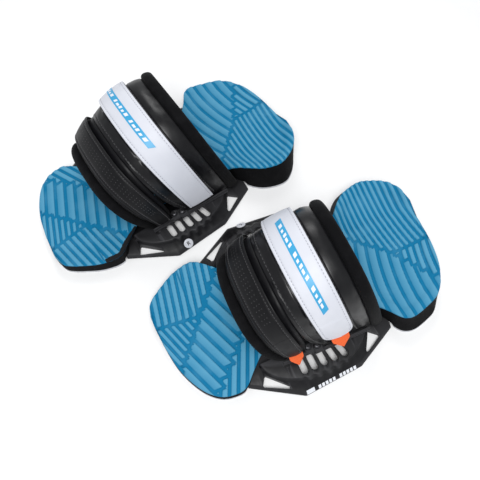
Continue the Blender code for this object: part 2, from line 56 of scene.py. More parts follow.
# Driving dimensions, in millimetres, as in the CAD model where it has them
CHASSIS_CORNERS = ((85.0, 75.0), (33.0, 106.0), (-34.8, 102.0), (-85.0, 78.0))
CHASSIS_END, END_CLEARANCE = 85.0, 3.4
PLATE_TOP, BAND_TOP, BAND_EDGE_HEIGHT, LIP_HEIGHT, LIP_RUN = 5.0, 13.5, 10.0, 1.4, 4.5
BAND_CENTRE, BAND_LENGTH_HALF, BAND_DEPTH, BAND_INNER = 4.0, 62.0, 36.5, 59.0
SLOT_WIDTH, SLOT_INNER, SLOT_OUTER = 7.0, 69.5, 86.5
SLOT_PITCH, SLOT_FIRST, SLOT_COUNT, SLOT_FAN_DEGREES = 11.0, 25.0, 5, 0.9
POCKET_ROOF, RELIEF_DEPTH, DIMPLE_DEPTH = 4.5, 0.8, 1.6  # below the band's top
DIMPLES = ((40.0, 3.1), (-36.0, 2.8))  # forward, radius
WINDOW_ROUND, SCREW_HOLE_RADIUS, PLATE_BEVEL = 1.6, 2.4, 0.35
SLOT_LAST = SLOT_FIRST - SLOT_PITCH * (SLOT_COUNT - 1)
LIGHTENING_HOLES = (
    ((64.9, 70.6), (71.2, 80.4), (37.9, 97.4)),
    ((-57.8, 71.0), (-68.7, 80.8), (-43.2, 94.4)),
)
BADGE_FORWARD, SCREW_HEAD, SCREW_RADIUS = 17.0, 2.8, 4.2

DECK_ROWS = np.array((  # forward, medial half width, lateral half width
    (153, 34, -22), (150, 46, 5), (144, 53, 32), (131, 62, 58), (115, 71, 73), (97, 76, 77), (86, 74, 74),
    (73, 64, 62), (60, 54, 51), (45, 46, 46), (0, 45, 45), (-50, 46, 46), (-66, 49, 49.5), (-80, 57, 60),
    (-92, 69, 75), (-106, 80, 80), (-126, 86, 76), (-142, 82, 69), (-154, 75, 54), (-162, 66, 34),
    (-167, 55, 8), (-169.5, 40, -18),
), float)[::-1]
DECK_PROFILE = np.array(((153, 11), (100, 14), (45, 17), (0, 20.5), (-60, 24), (-110, 26), (-170, 27)), float)[::-1]
TOE_MEDIAL_RISE, TOE_LATERAL_RISE, HEEL_MEDIAL_RISE, HEEL_LATERAL_RISE, HEEL_BACK_RISE = 6.0, -1.0, 9.0, 1.5, 3.0
FOAM_FLARE, FOAM_TUCK, SKIN_THICKNESS = 9.0, 7.0, 1.2
DECK_HEEL, DECK_TOE = DECK_ROWS[0, 0], DECK_ROWS[-1, 0]
LIP_FORWARD, LIP_SPREAD, LIP_OUT, LIP_UP = -88.0, 17.0, 3.0, 4.0  # the heel cup's raised side lips

BASE_FORWARD, ARCH_SPAN, ARCH_BASE = 44.0, 120.0, 14.4
CROWN_HEIGHT, HALF_WIDTH = (58.0, 168.5, -106.5), (63.0, 18.0, -14.0)
# How square the arch's lateral and medial shoulders are, how far forward its crown is, and its lateral bulge
ARCH_SETS = {"left": (2.6, 2.5, 76.0, 0.0), "right": (3.3, 2.3, 80.0, 8.0)}
# Bands of the arch: their two edges across it, from the toe side, and how far each moves near the arch's feet
TOE_HEM, HEEL_HEM = ((0.0, 0.068), (0.0, 0.0)), ((0.884, 1.0), (0.0, 0.0))
TOE_STRAP, INSTEP_STRAP = ((0.120, 0.285), (-0.030, -0.062)), ((0.452, 0.715), (0.0, 0.0))
# The pads' soft edges reach a little further than in the CAD model
TOE_BOLSTER, INSTEP_PAD = ((0.068, 0.321), (0.0, -0.092)), ((0.315, 0.888), (0.080, 0.0))
# A strap's tail: its tip and hinge along the arch, its round end's length, its gap to the hinge and how it thins there
Tail = namedtuple("Tail", "tip hinge rounding gap fold")
TAILS = {"toe": Tail(0.112, 0.270, 0.040, 0.0004, 0.0), "instep": Tail(0.115, 0.250, 0.056, 0.0010, 0.35)}
ARCH_STEPS = 721  # where the arch's length is measured
BACKING_START, STRAP_MEDIAL_END, BACKING_INSET = 0.128, 0.955, 0.012
PAD_THICKNESS, BACKING_THICKNESS, STRAP_THICKNESS = 5.0, 2.5, 2.1
STRAP_LIFT = GAP + BACKING_THICKNESS + GAP
STRAP_TOP = STRAP_LIFT + STRAP_THICKNESS
LABEL_WIDTHS, LABEL_RUN, LABEL_SLANT, LABEL_STEP, LABEL_MARKS = (0.553, 0.606), (0.300, 0.640), 0.012, 0.006, 16
TAB_TUCK, TAB_LIFT, TAB_LENGTH = 0.022, 1.5, 11.5
TAB_SHARE = {"toe": 0.80, "instep": 0.62}  # of the strap's width
SEAM_INSET = 2.8  # of a strap's stitched seams from its edges
SEAM_DEPTH, SEAM_SPREAD = 0.45, 0.75  # of the groove along a stitched seam
SEAM_THREAD, STRAP_THREAD, PIN_HOLE = (3.0, 0.42), (2.2, 0.36), (0.90, 0.38)  # length and radius
SCREW_PLACES = [(label, where) for label in ("front", "rear") for where in ("lateral", "medial")]

# Foam detail
RIB_DEPTH, RIB_WALL = 1.7, 0.9
RIM_ROUND, BLUE_EDGE, BLUE_THICKNESS, BLUE_GAP, FOAM_SOFT = 1.2, 2.3, 3.3, 0.3, 1.2

# Camera: how the pair is looked down on
CAMERA_AZIMUTH, CAMERA_ELEVATION, CAMERA_DISTANCE, CAMERA_LENS = 240.85, 64.48, 0.6137, 38.59
CAMERA_TARGET = (-0.0182, -0.0056, 0.0)

# Cloth pressure in the pads, its steps, how far a point may move (mm), and how often the movement is smoothed
CLOTH = {
    "quality": 6, "mass": 0.03, "tension_stiffness": 8.0, "compression_stiffness": 8.0, "shear_stiffness": 4.0,
    "bending_stiffness": 1.0, "shrink_min": -0.012, "use_pressure": True, "uniform_pressure_force": 22.0,
}
CLOTH_FRAMES, CLOTH_REACH, CLOTH_SMOOTHING = 18, 2.6, 2


# ---------------------------------------------------------------- finishes

class Finish:
    """A node-built material: a base colour and roughness, with patterns added one after the other."""

    def __init__(self, name, colour, roughness, **fixed):
        self.material = bpy.data.materials.new(name)
        self.material.use_nodes = True
        self.tree = self.material.node_tree
        self.shader = self.tree.nodes["Principled BSDF"]
        self.shader.inputs["Base Color"].default_value = (*colour, 1.0)
        self.shader.inputs["Roughness"].default_value = roughness
        for socket, value in fixed.items():
            self.shader.inputs[socket.replace("_", " ")].default_value = value
        self.colour = (*colour, 1.0)
        self.roughness = roughness
        coordinates = self.tree.nodes.new("ShaderNodeTexCoord")
        self.places = {"object": coordinates.outputs["Object"], "uv": coordinates.outputs["UV"]}
        self.colour_end = None
        self.normal_end = None

    def node(self, kind, inputs=None, **settings):
        made = self.tree.nodes.new(kind)
        for key, value in settings.items():
            setattr(made, key, value)
        for key, value in (inputs or {}).items():
            if isinstance(value, bpy.types.NodeSocket):
                self.tree.links.new(value, made.inputs[key])
            else:
                made.inputs[key].default_value = value
        return made

    def noise(self, size, detail=3.0):
        """Noise whose blotches are about this many millimetres across."""
        inputs = {"Vector": self.places["object"], "Scale": 1.0 / (size * MM), "Detail": detail}
        return self.node("ShaderNodeTexNoise", inputs).outputs["Fac"]

    def cells(self, size, feature="F1"):
        """Grain whose cells are about this many millimetres across."""
        inputs = {"Vector": self.places["object"], "Scale": 1.0 / (size * MM)}
        return self.node("ShaderNodeTexVoronoi", inputs, feature=feature).outputs["Distance"]

    def bands(self, size, direction):
        """Regular bands this many millimetres apart, across the piece's own run or width."""
        inputs = {"Vector": self.places["uv"], "Scale": math.pi / 10.0 / (size * MM)}
        return self.node("ShaderNodeTexWave", inputs, bands_direction=direction).outputs["Fac"]

    def weave(self, size):
        across, along = self.bands(size, "X"), self.bands(size, "Y")
        return self.node("ShaderNodeMath", {0: across, 1: along}, operation="MAXIMUM").outputs[0]

    def spread(self, source, low, high, out_low, out_high):
        """Stretches the source's stretch from low to high over another one."""
        inputs = {"Value": source, "From Min": low, "From Max": high, "To Min": out_low, "To Max": out_high}
        return self.node("ShaderNodeMapRange", inputs).outputs["Result"]

    def tint(self, source, colour, low, high, amount=1.0):
        """Blends a second colour in where the source rises from low to high."""
        share = self.spread(source, low, high, 0.0, amount)
        mix = self.node("ShaderNodeMix", {0: share}, data_type="RGBA")
        if self.colour_end is None:
            mix.inputs["A"].default_value = self.colour
        else:
            self.tree.links.new(self.colour_end, mix.inputs["A"])
        mix.inputs["B"].default_value = (*colour, 1.0)
        self.colour_end = mix.outputs["Result"]
        self.tree.links.new(self.colour_end, self.shader.inputs["Base Color"])

    def dull(self, source, low, high, change):
        """Makes the surface rougher, or smoother, where the source rises."""
        rough = self.spread(source, low, high, self.roughness, self.roughness + change)
        self.tree.links.new(rough, self.shader.inputs["Roughness"])

    def bump(self, source, depth, strength=1.0):
        inputs = {"Height": source, "Distance": depth * MM, "Strength": strength}
        bump = self.node("ShaderNodeBump", inputs)
        if self.normal_end is not None:
            self.tree.links.new(self.normal_end, bump.inputs["Normal"])
        self.normal_end = bump.outputs["Normal"]
        self.tree.links.new(self.normal_end, self.shader.inputs["Normal"])

    def edges(self):
        """Rises along the piece's own edges, where wear shows."""
        return self.node("ShaderNodeNewGeometry").outputs["Pointiness"]

    def attribute(self, name):
        return self.node("ShaderNodeAttribute", attribute_name=name).outputs["Fac"]


FINISHES = {}


def finish(name, colour, roughness, *steps, **fixed):
    """Adds a material made in steps: a Finish method, the pattern that drives it, and the method's other values."""
    made = Finish(name, colour, roughness, **fixed)
    for method, (pattern, *sizes), *values in steps:
        getattr(made, method)(getattr(made, pattern)(*sizes), *values)
    FINISHES[name] = made.material


def leatherette(name, colour, light, roughness, grain, **fixed):
    """Grained synthetic leather."""
    finish(
        name, colour, roughness,
        ("tint", ("noise", 22.0, 5.0), light, 0.45, 0.8, 0.5),
        ("dull", ("noise", 9.0, 4.0), 0.3, 0.7, 0.14),
        ("bump", ("cells", grain, "DISTANCE_TO_EDGE"), 0.05, 0.35),
        ("bump", ("noise", grain * 14.0, 4.0), 0.30, 0.25),
        **fixed)


def film(name, colour, light, roughness):
    """Printed or moulded plastic film with a slight gloss."""
    finish(
        name, colour, roughness,
        ("tint", ("noise", 6.0, 4.0), light, 0.45, 0.8, 0.4),
        ("bump", ("noise", 1.5, 2.0), 0.02, 0.5),
        Coat_Weight=0.15, Coat_Roughness=0.25)


def thread(name, colour, dark):
    finish(
        name, colour, 0.75,
        ("tint", ("noise", 0.5, 2.0), dark, 0.4, 0.7, 0.6),
        ("bump", ("noise", 0.3, 2.0), 0.05, 0.7),
        Sheen_Weight=0.2, Sheen_Roughness=0.5)


# Each finish: its name, base colour and roughness, then its steps in order
WEBBING_DARK = (0.50, 0.055, 0.006)
finish(
    "blue_foam", (0.0005, 0.148, 0.300), 0.66,
    # painted light: the ridge attribute paints shade in the grooves, along the toe crease and towards the low side of
    # tilted tops, and a painted highlight on the rib tops
    ("tint", ("attribute", "ridge"), (0.095, 0.310, 0.465), 0.30, 1.0),
    ("tint", ("noise", 26.0, 5.0), (0.120, 0.345, 0.500), 0.50, 0.80, 0.25),
    ("tint", ("attribute", "patch"), (0.010, 0.010, 0.011), 0.4, 0.6),
    ("dull", ("noise", 1.4), 0.35, 0.7, 0.14),
    ("bump", ("cells", 0.9), 0.05, 0.5),
    ("bump", ("noise", 0.5, 2.0), 0.04, 0.5),
    Specular_IOR_Level=0.16)
finish(
    "black_foam", (0.0028, 0.0028, 0.0034), 0.72,
    ("tint", ("noise", 12.0, 4.0), (0.007, 0.007, 0.008), 0.45, 0.75, 0.6),
    ("dull", ("noise", 2.0), 0.3, 0.7, 0.12),
    ("bump", ("cells", 0.8), 0.05, 0.5),
    ("bump", ("noise", 3.0), 0.08, 0.4),
    Specular_IOR_Level=0.10)
finish(
    "base_skin", (0.520, 0.530, 0.560), 0.55,
    ("tint", ("noise", 5.0, 4.0), (0.30, 0.31, 0.33), 0.45, 0.75, 0.6),
    ("bump", ("cells", 1.2), 0.06, 0.6))
finish(
    "nylon", (0.005, 0.005, 0.006), 0.42,
    ("tint", ("noise", 18.0, 5.0), (0.016, 0.016, 0.018), 0.45, 0.75, 0.7),
    ("tint", ("edges",), (0.055, 0.055, 0.06), 0.505, 0.56, 0.6),
    ("dull", ("noise", 6.0, 4.0), 0.3, 0.7, 0.16),
    ("bump", ("cells", 0.55), 0.035, 0.6),
    ("bump", ("noise", 0.8, 2.0), 0.03, 0.5),
    Specular_IOR_Level=0.24)
finish(
    "neoprene", (0.0028, 0.0028, 0.0034), 0.80,
    ("tint", ("noise", 10.0, 4.0), (0.008, 0.008, 0.009), 0.45, 0.75, 0.6),
    ("bump", ("weave", 0.9), 0.06, 0.6),
    ("bump", ("noise", 7.0, 3.0), 0.35, 0.35),
    Sheen_Weight=0.02, Specular_IOR_Level=0.08)
finish(
    "lining", (0.005, 0.005, 0.006), 0.88,
    ("tint", ("noise", 4.0, 4.0), (0.016, 0.016, 0.018), 0.45, 0.75, 0.6),
    ("bump", ("cells", 1.0), 0.08, 0.7),
    Sheen_Weight=0.03, Specular_IOR_Level=0.12)
finish(
    "pile", (0.005, 0.005, 0.006), 0.92,
    ("tint", ("noise", 1.2, 3.0), (0.020, 0.020, 0.022), 0.45, 0.7, 0.7),
    ("bump", ("noise", 0.8, 3.0), 0.25, 0.8),
    Sheen_Weight=0.04, Specular_IOR_Level=0.12)
finish(
    "orange_webbing", (0.800, 0.115, 0.010), 0.66,
    ("tint", ("weave", 1.3), WEBBING_DARK, 0.75, 0.35, 0.75),
    ("tint", ("noise", 5.0, 4.0), WEBBING_DARK, 0.5, 0.85, 0.3),
    ("bump", ("weave", 1.3), 0.16, 0.9),
    Sheen_Weight=0.25, Sheen_Roughness=0.5)
finish(
    "strap_plate", (0.006, 0.006, 0.007), 0.55,
    ("tint", ("noise", 3.0, 4.0), (0.028, 0.028, 0.031), 0.45, 0.75, 0.7),
    ("tint", ("edges",), (0.05, 0.05, 0.055), 0.505, 0.56, 0.5),
    ("bump", ("noise", 0.9, 3.0), 0.10, 0.7),
    Specular_IOR_Level=0.25)
finish(
    "black_steel", (0.055, 0.055, 0.060), 0.30,
    ("tint", ("noise", 2.5, 4.0), (0.16, 0.16, 0.17), 0.5, 0.8, 0.6),
    ("dull", ("noise", 1.5, 3.0), 0.3, 0.7, 0.2),
    ("bump", ("noise", 0.5, 2.0), 0.02, 0.6),
    Metallic=0.9)
finish(
    "floor", (0.86, 0.86, 0.86), 0.75,
    ("tint", ("noise", 60.0, 3.0), (0.83, 0.83, 0.83), 0.4, 0.7, 0.5),
    Specular_IOR_Level=0.2)
leatherette("smooth_black", (0.004, 0.004, 0.005), (0.009, 0.009, 0.010), 0.27, 1.1, Specular_IOR_Level=0.34)
leatherette("soft_black", (0.003, 0.003, 0.004), (0.007, 0.007, 0.008), 0.38, 0.9, Specular_IOR_Level=0.20)
leatherette("strap_black", (0.004, 0.004, 0.005), (0.008, 0.008, 0.009), 0.36, 0.8, Specular_IOR_Level=0.22)
leatherette("strap_white", (0.580, 0.595, 0.650), (0.66, 0.67, 0.72), 0.48, 0.8, Sheen_Weight=0.1)
film("blue_print", (0.030, 0.310, 0.560), (0.06, 0.38, 0.64), 0.40)
film("white_print", (0.720, 0.740, 0.780), (0.62, 0.64, 0.68), 0.45)
film("badge", (0.560, 0.575, 0.620), (0.66, 0.67, 0.70), 0.38)
thread("black_thread", (0.045, 0.045, 0.048), (0.020, 0.020, 0.022))
thread("grey_thread", (0.400, 0.410, 0.450), (0.25, 0.26, 0.29))


# ---------------------------------------------------------------- shapes

def smooth_step(value):
    value = np.clip(value, 0.0, 1.0)
    return value * value * (3.0 - 2.0 * value)


def quadratic(terms, value):
    return terms[0] + terms[1] * value + terms[2] * value * value


def smooth_rows(rows, steps):
    """Rows of numbers resampled on a smooth curve through them, ordered by the first column."""
    padded = np.vstack((2 * rows[0] - rows[1], rows, 2 * rows[-1] - rows[-2]))
    share = np.linspace(0.0, 1.0, steps, endpoint=False)[:, None]
    spans = []
    for a, b, c, d in zip(padded, padded[1:], padded[2:], padded[3:]):
        slope_b, slope_c = (c - a) / 2, (d - b) / 2
        spans.append(
            b * (2 * share**3 - 3 * share**2 + 1)
            + slope_b * (share**3 - 2 * share**2 + share)
            + c * (3 * share**2 - 2 * share**3)
            + slope_c * (share**3 - share**2)
        )
    return np.vstack(spans + [rows[-1:]])


OUTLINE = smooth_rows(DECK_ROWS, 6)


def heel_lip(forward):
    """How much of the heel cup's side lips is here, from 0 to 1."""
    return np.exp(-(((forward - LIP_FORWARD) / LIP_SPREAD) ** 2))


def deck_reach(forward, side):
    """Half the deck's width at this place, on the medial side (-1) or the lateral one (1)."""
    return np.interp(forward, OUTLINE[:, 0], OUTLINE[:, 2 if side > 0 else 1]) + LIP_OUT * heel_lip(forward)


def deck_height(out, forward):
    """The deck's top: its profile along the foot, and its edges' rise towards heel and toe."""
    reach = np.where(out > 0, deck_reach(forward, 1), deck_reach(forward, -1))
    share = np.minimum(1.0, np.abs(out) / np.maximum(reach, 1.0))
    heel, toe = smooth_step((-60.0 - forward) / 40.0), smooth_step((forward - 50.0) / 35.0)
    lateral = heel * HEEL_LATERAL_RISE + toe * TOE_LATERAL_RISE
    medial = heel * HEEL_MEDIAL_RISE + toe * TOE_MEDIAL_RISE
    back = HEEL_BACK_RISE * smooth_step((-140.0 - forward) / 26.0)
    rise = (np.where(out > 0, lateral, medial) + LIP_UP * heel_lip(forward)) * smooth_step((share - 0.45) / 0.6)
    return np.interp(forward, DECK_PROFILE[:, 0], DECK_PROFILE[:, 1]) + rise + back


def deck_out(forward, column):
    """Where a column of the deck runs, from -1 at its medial edge to 1 at its lateral one."""
    medial, lateral = -deck_reach(forward, -1), deck_reach(forward, 1)
    return medial + (lateral - medial) * (column + 1.0) / 2.0


def grid_faces(rows, columns, start=0, close=False, flip=False):
    """Quads between neighbouring rows of points, round to the first column if closed."""
    last = columns if close else columns - 1
    row, column = np.meshgrid(np.arange(rows - 1), np.arange(last), indexing="ij")
    here = start + row * columns + column
    beside = start + row * columns + (column + 1) % columns
    faces = np.stack((here, beside, beside + columns, here + columns), -1).reshape(-1, 4)
    return (faces[:, ::-1] if flip else faces).tolist()


def tube_faces(rows, columns):
    """A closed tube of rings with both ends capped."""
    last = (rows - 1) * columns
    return grid_faces(rows, columns, close=True) + [list(range(columns)), list(range(last, last + columns))]


def merged(shapes):
    """Several (points, faces) shapes as one."""
    blocks, faces, base = [], [], 0
    for points, sides in shapes:
        blocks.append(points)
        faces += [[base + corner for corner in side] for side in sides]
        base += len(points)
    return np.vstack(blocks), faces


def closed_mesh(name, points, faces):
    """A mesh whose faces all look outwards."""
    mesh = bpy.data.meshes.new(name)
    mesh.from_pydata(points.tolist(), [], faces)
    shape = bmesh.new()
    shape.from_mesh(mesh)
    bmesh.ops.recalc_face_normals(shape, faces=shape.faces)
    shape.to_mesh(mesh)
    shape.free()
    return mesh


def stand(name, data):
    """A new object in the scene."""
    thing = bpy.data.objects.new(name, data)
    bpy.context.scene.collection.objects.link(thing)
    return thing


def evaluated(thing):
    """The object with its modifiers applied."""
    bpy.context.view_layer.update()
    return thing.evaluated_get(bpy.context.evaluated_depsgraph_get())


class Foot:
    """Where one foot stands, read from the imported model, and its strap arch."""

    def __init__(self, name):
        self.name = name
        self.side = 1.0 if name == "right" else -1.0
        mount = next(entry for entry in frame["record"]["mounts"] if entry["name"] == f"{name}_base")
        self.base = np.array(mount["pos_m"])
        lateral, medial = (self.centre(f"front_screw_{where}") for where in ("lateral", "medial"))
        out = (lateral - medial) / np.linalg.norm(lateral - medial)
        self.axes = np.array((out, (-out[1] * self.side, out[0] * self.side, 0.0), (0.0, 0.0, 1.0)))
        self.lateral_fullness, self.medial_fullness, self.crown_forward, self.bulge = ARCH_SETS[name]
        self.angles = np.linspace(0.0, math.pi, ARCH_STEPS)
        middle = self.section(np.full(ARCH_STEPS, 0.5), self.angles)
        lengths = np.concatenate(([0.0], np.cumsum(np.linalg.norm(np.diff(middle, axis=0), axis=1))))
        self.arch_length = lengths[-1]
        self.shares = lengths / lengths[-1]

    def centre(self, node):
        low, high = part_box(f"{self.name}_{node}")
        return (np.array(low) + np.array(high)) / 2

    def local(self, node):
        """A CAD node's middle, in foot millimetres."""
        return (self.centre(node) - self.base) @ self.axes.T / MM

    def place(self, points):
        """Foot points (out, forward, up) in millimetres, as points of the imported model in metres."""
        return self.base + np.asarray(points, float).reshape(-1, 3) * MM @ self.axes

    def section(self, width, angle):
        """Points on the arch's outer face: angle 0 is its lateral base and pi its medial one."""
        fullness = np.where(angle < math.pi / 2, self.lateral_fullness, self.medial_fullness)
        side = np.cos(angle)
        rise = np.abs(np.sin(angle)) ** (2.0 / fullness)
        base = BASE_FORWARD - ARCH_SPAN * width
        crown = self.crown_forward - ARCH_SPAN * width
        out = quadratic(HALF_WIDTH, width) * np.sign(side) * np.abs(side) ** (2.0 / fullness)
        out = out + self.bulge * np.maximum(0.0, np.sin(2.0 * angle))
        up = ARCH_BASE + (quadratic(CROWN_HEIGHT, width) - ARCH_BASE) * rise
        return np.stack((out, base + (crown - base) * rise, up), -1)

    def arch(self, width, run, lift):
        """Points on the arch, lifted off its outer face: width 0 at the toe edge, run 0 at the lateral base."""
        width, run, lift = np.broadcast_arrays(*(np.asarray(value, float) for value in (width, run, lift)))
        step = 0.004
        held = np.clip(run, step, 1.0 - step)
        angle = np.interp(np.where(lift == 0.0, run, held), self.shares, self.angles)
        here = self.section(width, angle)
        ahead, behind = (np.interp(held + turn, self.shares, self.angles) for turn in (step, -step))
        along = self.section(width, ahead) - self.section(width, behind)
        across = self.section(width - step, angle) - self.section(width + step, angle)
        normal = np.cross(along, across)
        normal /= np.maximum(np.linalg.norm(normal, axis=-1, keepdims=True), 1e-9)
        outwards = here - np.stack((0 * width, here[..., 1], 0 * width + ARCH_BASE), -1)
        normal *= np.where((normal * outwards).sum(-1, keepdims=True) < 0.0, -1.0, 1.0)
        return here + normal * lift[..., None]

    def add(self, piece, points, faces, finish, body="binding", slot=None, uv=None):
        """A mesh that rides on one of this foot's bodies, in place of the CAD node that it is named after."""
        mesh = closed_mesh(piece, self.place(points), faces)
        if uv is not None:
            layer = mesh.uv_layers.new(name="UVMap")
            corners = np.empty(len(mesh.loops), dtype=np.int32)
            mesh.loops.foreach_get("vertex_index", corners)
            layer.data.foreach_set("uv", (np.asarray(uv, float).reshape(-1, 2)[corners] * MM).ravel())
        mesh.shade_smooth()
        mesh.set_sharp_from_angle(angle=math.radians(50.0))
        mesh.materials.append(FINISHES[finish])
        thing = stand(f"{self.name}.{piece}", mesh)
        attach(thing, f"{self.name}_{body}")
        if f"{self.name}_{piece}" in frame["nodes"]:
            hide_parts(f"{self.name}_{piece}")
        return thing

    def loft(self, piece, rings, finish, **facts):
        """A closed tube through rings of points."""
        return self.add(piece, np.array(rings), tube_faces(len(rings), len(rings[0])), finish, **facts)


def in_band(band, share, run):
    """Where a share of a band's width lies across the arch, at a run along it."""
    (near, far), (near_move, far_move) = band
    spread = (1.0 - np.sin(math.pi * run)) ** 3
    near, far = near + near_move * spread, far + far_move * spread
    return near + share * (far - near)


def band_width(band):
    return (band[0][1] - band[0][0]) * ARCH_SPAN


def outline_distance(out, forward):
    """Distance of points to the deck's outline."""
    rows = OUTLINE[:, 0]
    medial = np.stack((-deck_reach(rows, -1), rows), -1)
    lateral = np.stack((deck_reach(rows, 1), rows), -1)[::-1]
    loop = np.vstack((medial, lateral, medial[:1]))
    points = np.stack((out.ravel(), forward.ravel()), -1)
    nearest = np.full(len(points), 1e9)
    for start, end in zip(loop, loop[1:]):
        span = end - start
        length = (span * span).sum()
        if length > 1e-9:
            share = np.clip((points - start) @ span / length, 0.0, 1.0)
            nearest = np.minimum(nearest, np.linalg.norm(points - start - share[:, None] * span, axis=1))
    return nearest.reshape(out.shape)


# ---------------------------------------------------------------- footbed

# Rib families of the footbed: pitch and shape of their lines, where these start, and how far the tops tilt
Ribs = namedtuple("Ribs", "pitch slope curve wave start tilt")
RIBS = {
    "toe_medial": Ribs(8.0, 0.17, 0.0, 0.0, 4.0, 0.30),
    "toe_middle": Ribs(7.3, -0.37, 0.0, 0.0, 1.0, 0.30),
    "toe_lateral": Ribs(13.0, -0.42, 0.0, 0.0, 5.0, 0.50),
    "toe_blocks": Ribs(10.0, 0.45, 0.0, 0.0, 3.0, 0.20),
    "heel_medial": Ribs(6.8, -0.10, 0.0, 2.5, 2.0, 0.25),
    "heel_lateral": Ribs(12.5, 0.33, -0.0022, 0.0, 6.0, 0.50),
    "heel_middle": Ribs(8.0, 0.33, -0.0022, 0.0, 2.0, 0.20),
}
# Borders between families, as lines through two (out, forward) points: the first family is on the line's left as it
# runs, and its ribs end square, in steps, at the border; the second family's ribs stop at those steps
RIB_BORDERS = (
    ("toe_medial", ("toe_middle",), ((-15.0, 106.0), (-20.0, 150.0))),
    ("toe_medial", ("toe_lateral", "toe_blocks"), ((-48.0, 78.0), (-14.0, 107.0))),
    ("toe_middle", ("toe_lateral", "toe_blocks"), ((-15.0, 104.0), (28.0, 140.0))),
    ("toe_lateral", ("toe_blocks",), ((22.0, 70.0), (40.0, 88.0))),
    ("heel_medial", ("heel_lateral",), ((8.0, -125.0), (-40.0, -72.0))),
    ("heel_medial", ("heel_middle",), ((6.5, -165.0), (7.5, -120.0))),
    ("heel_middle", ("heel_lateral",), ((45.0, -148.0), (10.0, -125.0))),
)
GROOVE_HALF, RIB_CORNER, WIDE_PITCH = 1.05, 1.6, 9.0
WAIST = (-56.0, 46.0)  # where the foam has no ribs
CREASE_FORWARD, PATCH_REACH, PATCH_RIDGE, CUP_DEPTH = 109.5, 25.0, 0.55, 1.2
FAR = 99.0  # a distance that no border reaches
NOTCH = ((-90.0, 110.5), (-69.0, 107.5), (-71.5, 91.0), (-58.5, 73.0), (-50.0, 58.0), (-90.0, 50.0))


def beyond(line, out, forward):
    """Signed distance of points to a line, positive on its left as it runs."""
    (x0, y0), (x1, y1) = line
    return ((forward - y0) * (x1 - x0) - (out - x0) * (y1 - y0)) / math.hypot(x1 - x0, y1 - y0)


def rib_level(ribs, out, forward):
    """Which rib of a family a point is on, as its number and a share of the way to the next."""
    bend = ribs.slope * out + ribs.curve * out * out + ribs.wave * np.sin((out + 60.0) / 28.0)
    return (forward - bend - ribs.start) / ribs.pitch


def stepped_border(ribs, line, out, forward):
    """Distances inside the side whose ribs end square at a border, and inside the other side."""
    (x0, y0), (x1, y1) = line
    share = np.linspace(-3.0, 4.0, 600)
    edge_out, edge_forward = x0 + share * (x1 - x0), y0 + share * (y1 - y0)
    edge_level = rib_level(ribs, edge_out, edge_forward)
    order = np.argsort(edge_level)
    level = rib_level(ribs, out, forward)
    number = np.floor(level)
    place = level - number
    stretch = math.hypot(1.0, ribs.slope)
    facing = 1.0 if beyond(line, np.array(x0 - 1.0), np.array(y0)) > 0.0 else -1.0

    def to_end(which):
        return facing * (np.interp(which + 0.5, edge_level[order], edge_out[order]) - out) * stretch

    end, beside = to_end(number), to_end(number + np.where(place < 0.5, -1.0, 1.0))
    to_line = (0.5 - np.abs(place - 0.5)) * ribs.pitch / stretch
    return end, np.where(end < 0.0, np.minimum(-end, np.where(beside > 0.0, to_line, FAR)), -1.0)


def rib_height(out, forward):
    """0 in a groove and 1 on a rib's top."""
    inside = {name: np.full(out.shape, FAR) for name in RIBS}
    for owner, others, line in RIB_BORDERS:
        mine, theirs = stepped_border(RIBS[owner], line, out, forward)
        inside[owner] = np.minimum(inside[owner], mine)
        for other in others:
            inside[other] = np.minimum(inside[other], theirs)
    height = np.zeros_like(out)
    for name, ribs in RIBS.items():
        place = rib_level(ribs, out, forward) % 1.0
        to_line = (0.5 - np.abs(place - 0.5)) * ribs.pitch / math.hypot(1.0, ribs.slope)
        groove = GROOVE_HALF if ribs.pitch < WIDE_PITCH else 1.25 * GROOVE_HALF
        short = (np.clip(RIB_CORNER - (reach - groove), 0.0, RIB_CORNER) for reach in (to_line, inside[name]))
        # a tilted top also slopes the ridge colour: painted shade towards its low side
        family = smooth_step((RIB_CORNER - np.hypot(*short)) / RIB_WALL) * (1.0 - ribs.tilt * place)
        here = forward > WAIST[1] if name.startswith("toe") else forward < WAIST[0]
        height = np.maximum(height, np.where(here & (inside[name] > 0.0), family, 0.0))
    return np.where((forward > WAIST[0]) & (forward < WAIST[1]), 1.0, height)


def footbed_relief(foot, out, forward):
    """The blue foam's ridges, from 0 in a groove to 1 on a rib's top, and where its black patches are. The ridges also
    set painted shade in the grooves and a painted highlight on the rib tops.
    """
    crease = np.exp(-(((forward - CREASE_FORWARD - 0.02 * (out + 40.0)) / 0.8) ** 2))
    crease = crease * smooth_step((-16.0 - out) / 4.0)
    patch = in_polygon(NOTCH, out, forward) & (foot.name == "right")
    patch |= np.abs(out) > PATCH_REACH + 0.014 * forward**2
    # the crease lowers the foam, and through the ridge colour it also paints shade along that line
    ridge = rib_height(out, forward) * (1.0 - 0.8 * crease)
    return np.where(patch & (forward > 40.0), PATCH_RIDGE, ridge), patch


def rim_drop(edge):
    """How far the foam's rounded rim falls away, from the distance to the deck's outline."""
    inward = np.clip(RIM_ROUND - edge, 0.0, RIM_ROUND)
    return np.maximum(RIM_ROUND - np.sqrt(np.maximum(RIM_ROUND**2 - inward**2, 0.0)), 0.0)


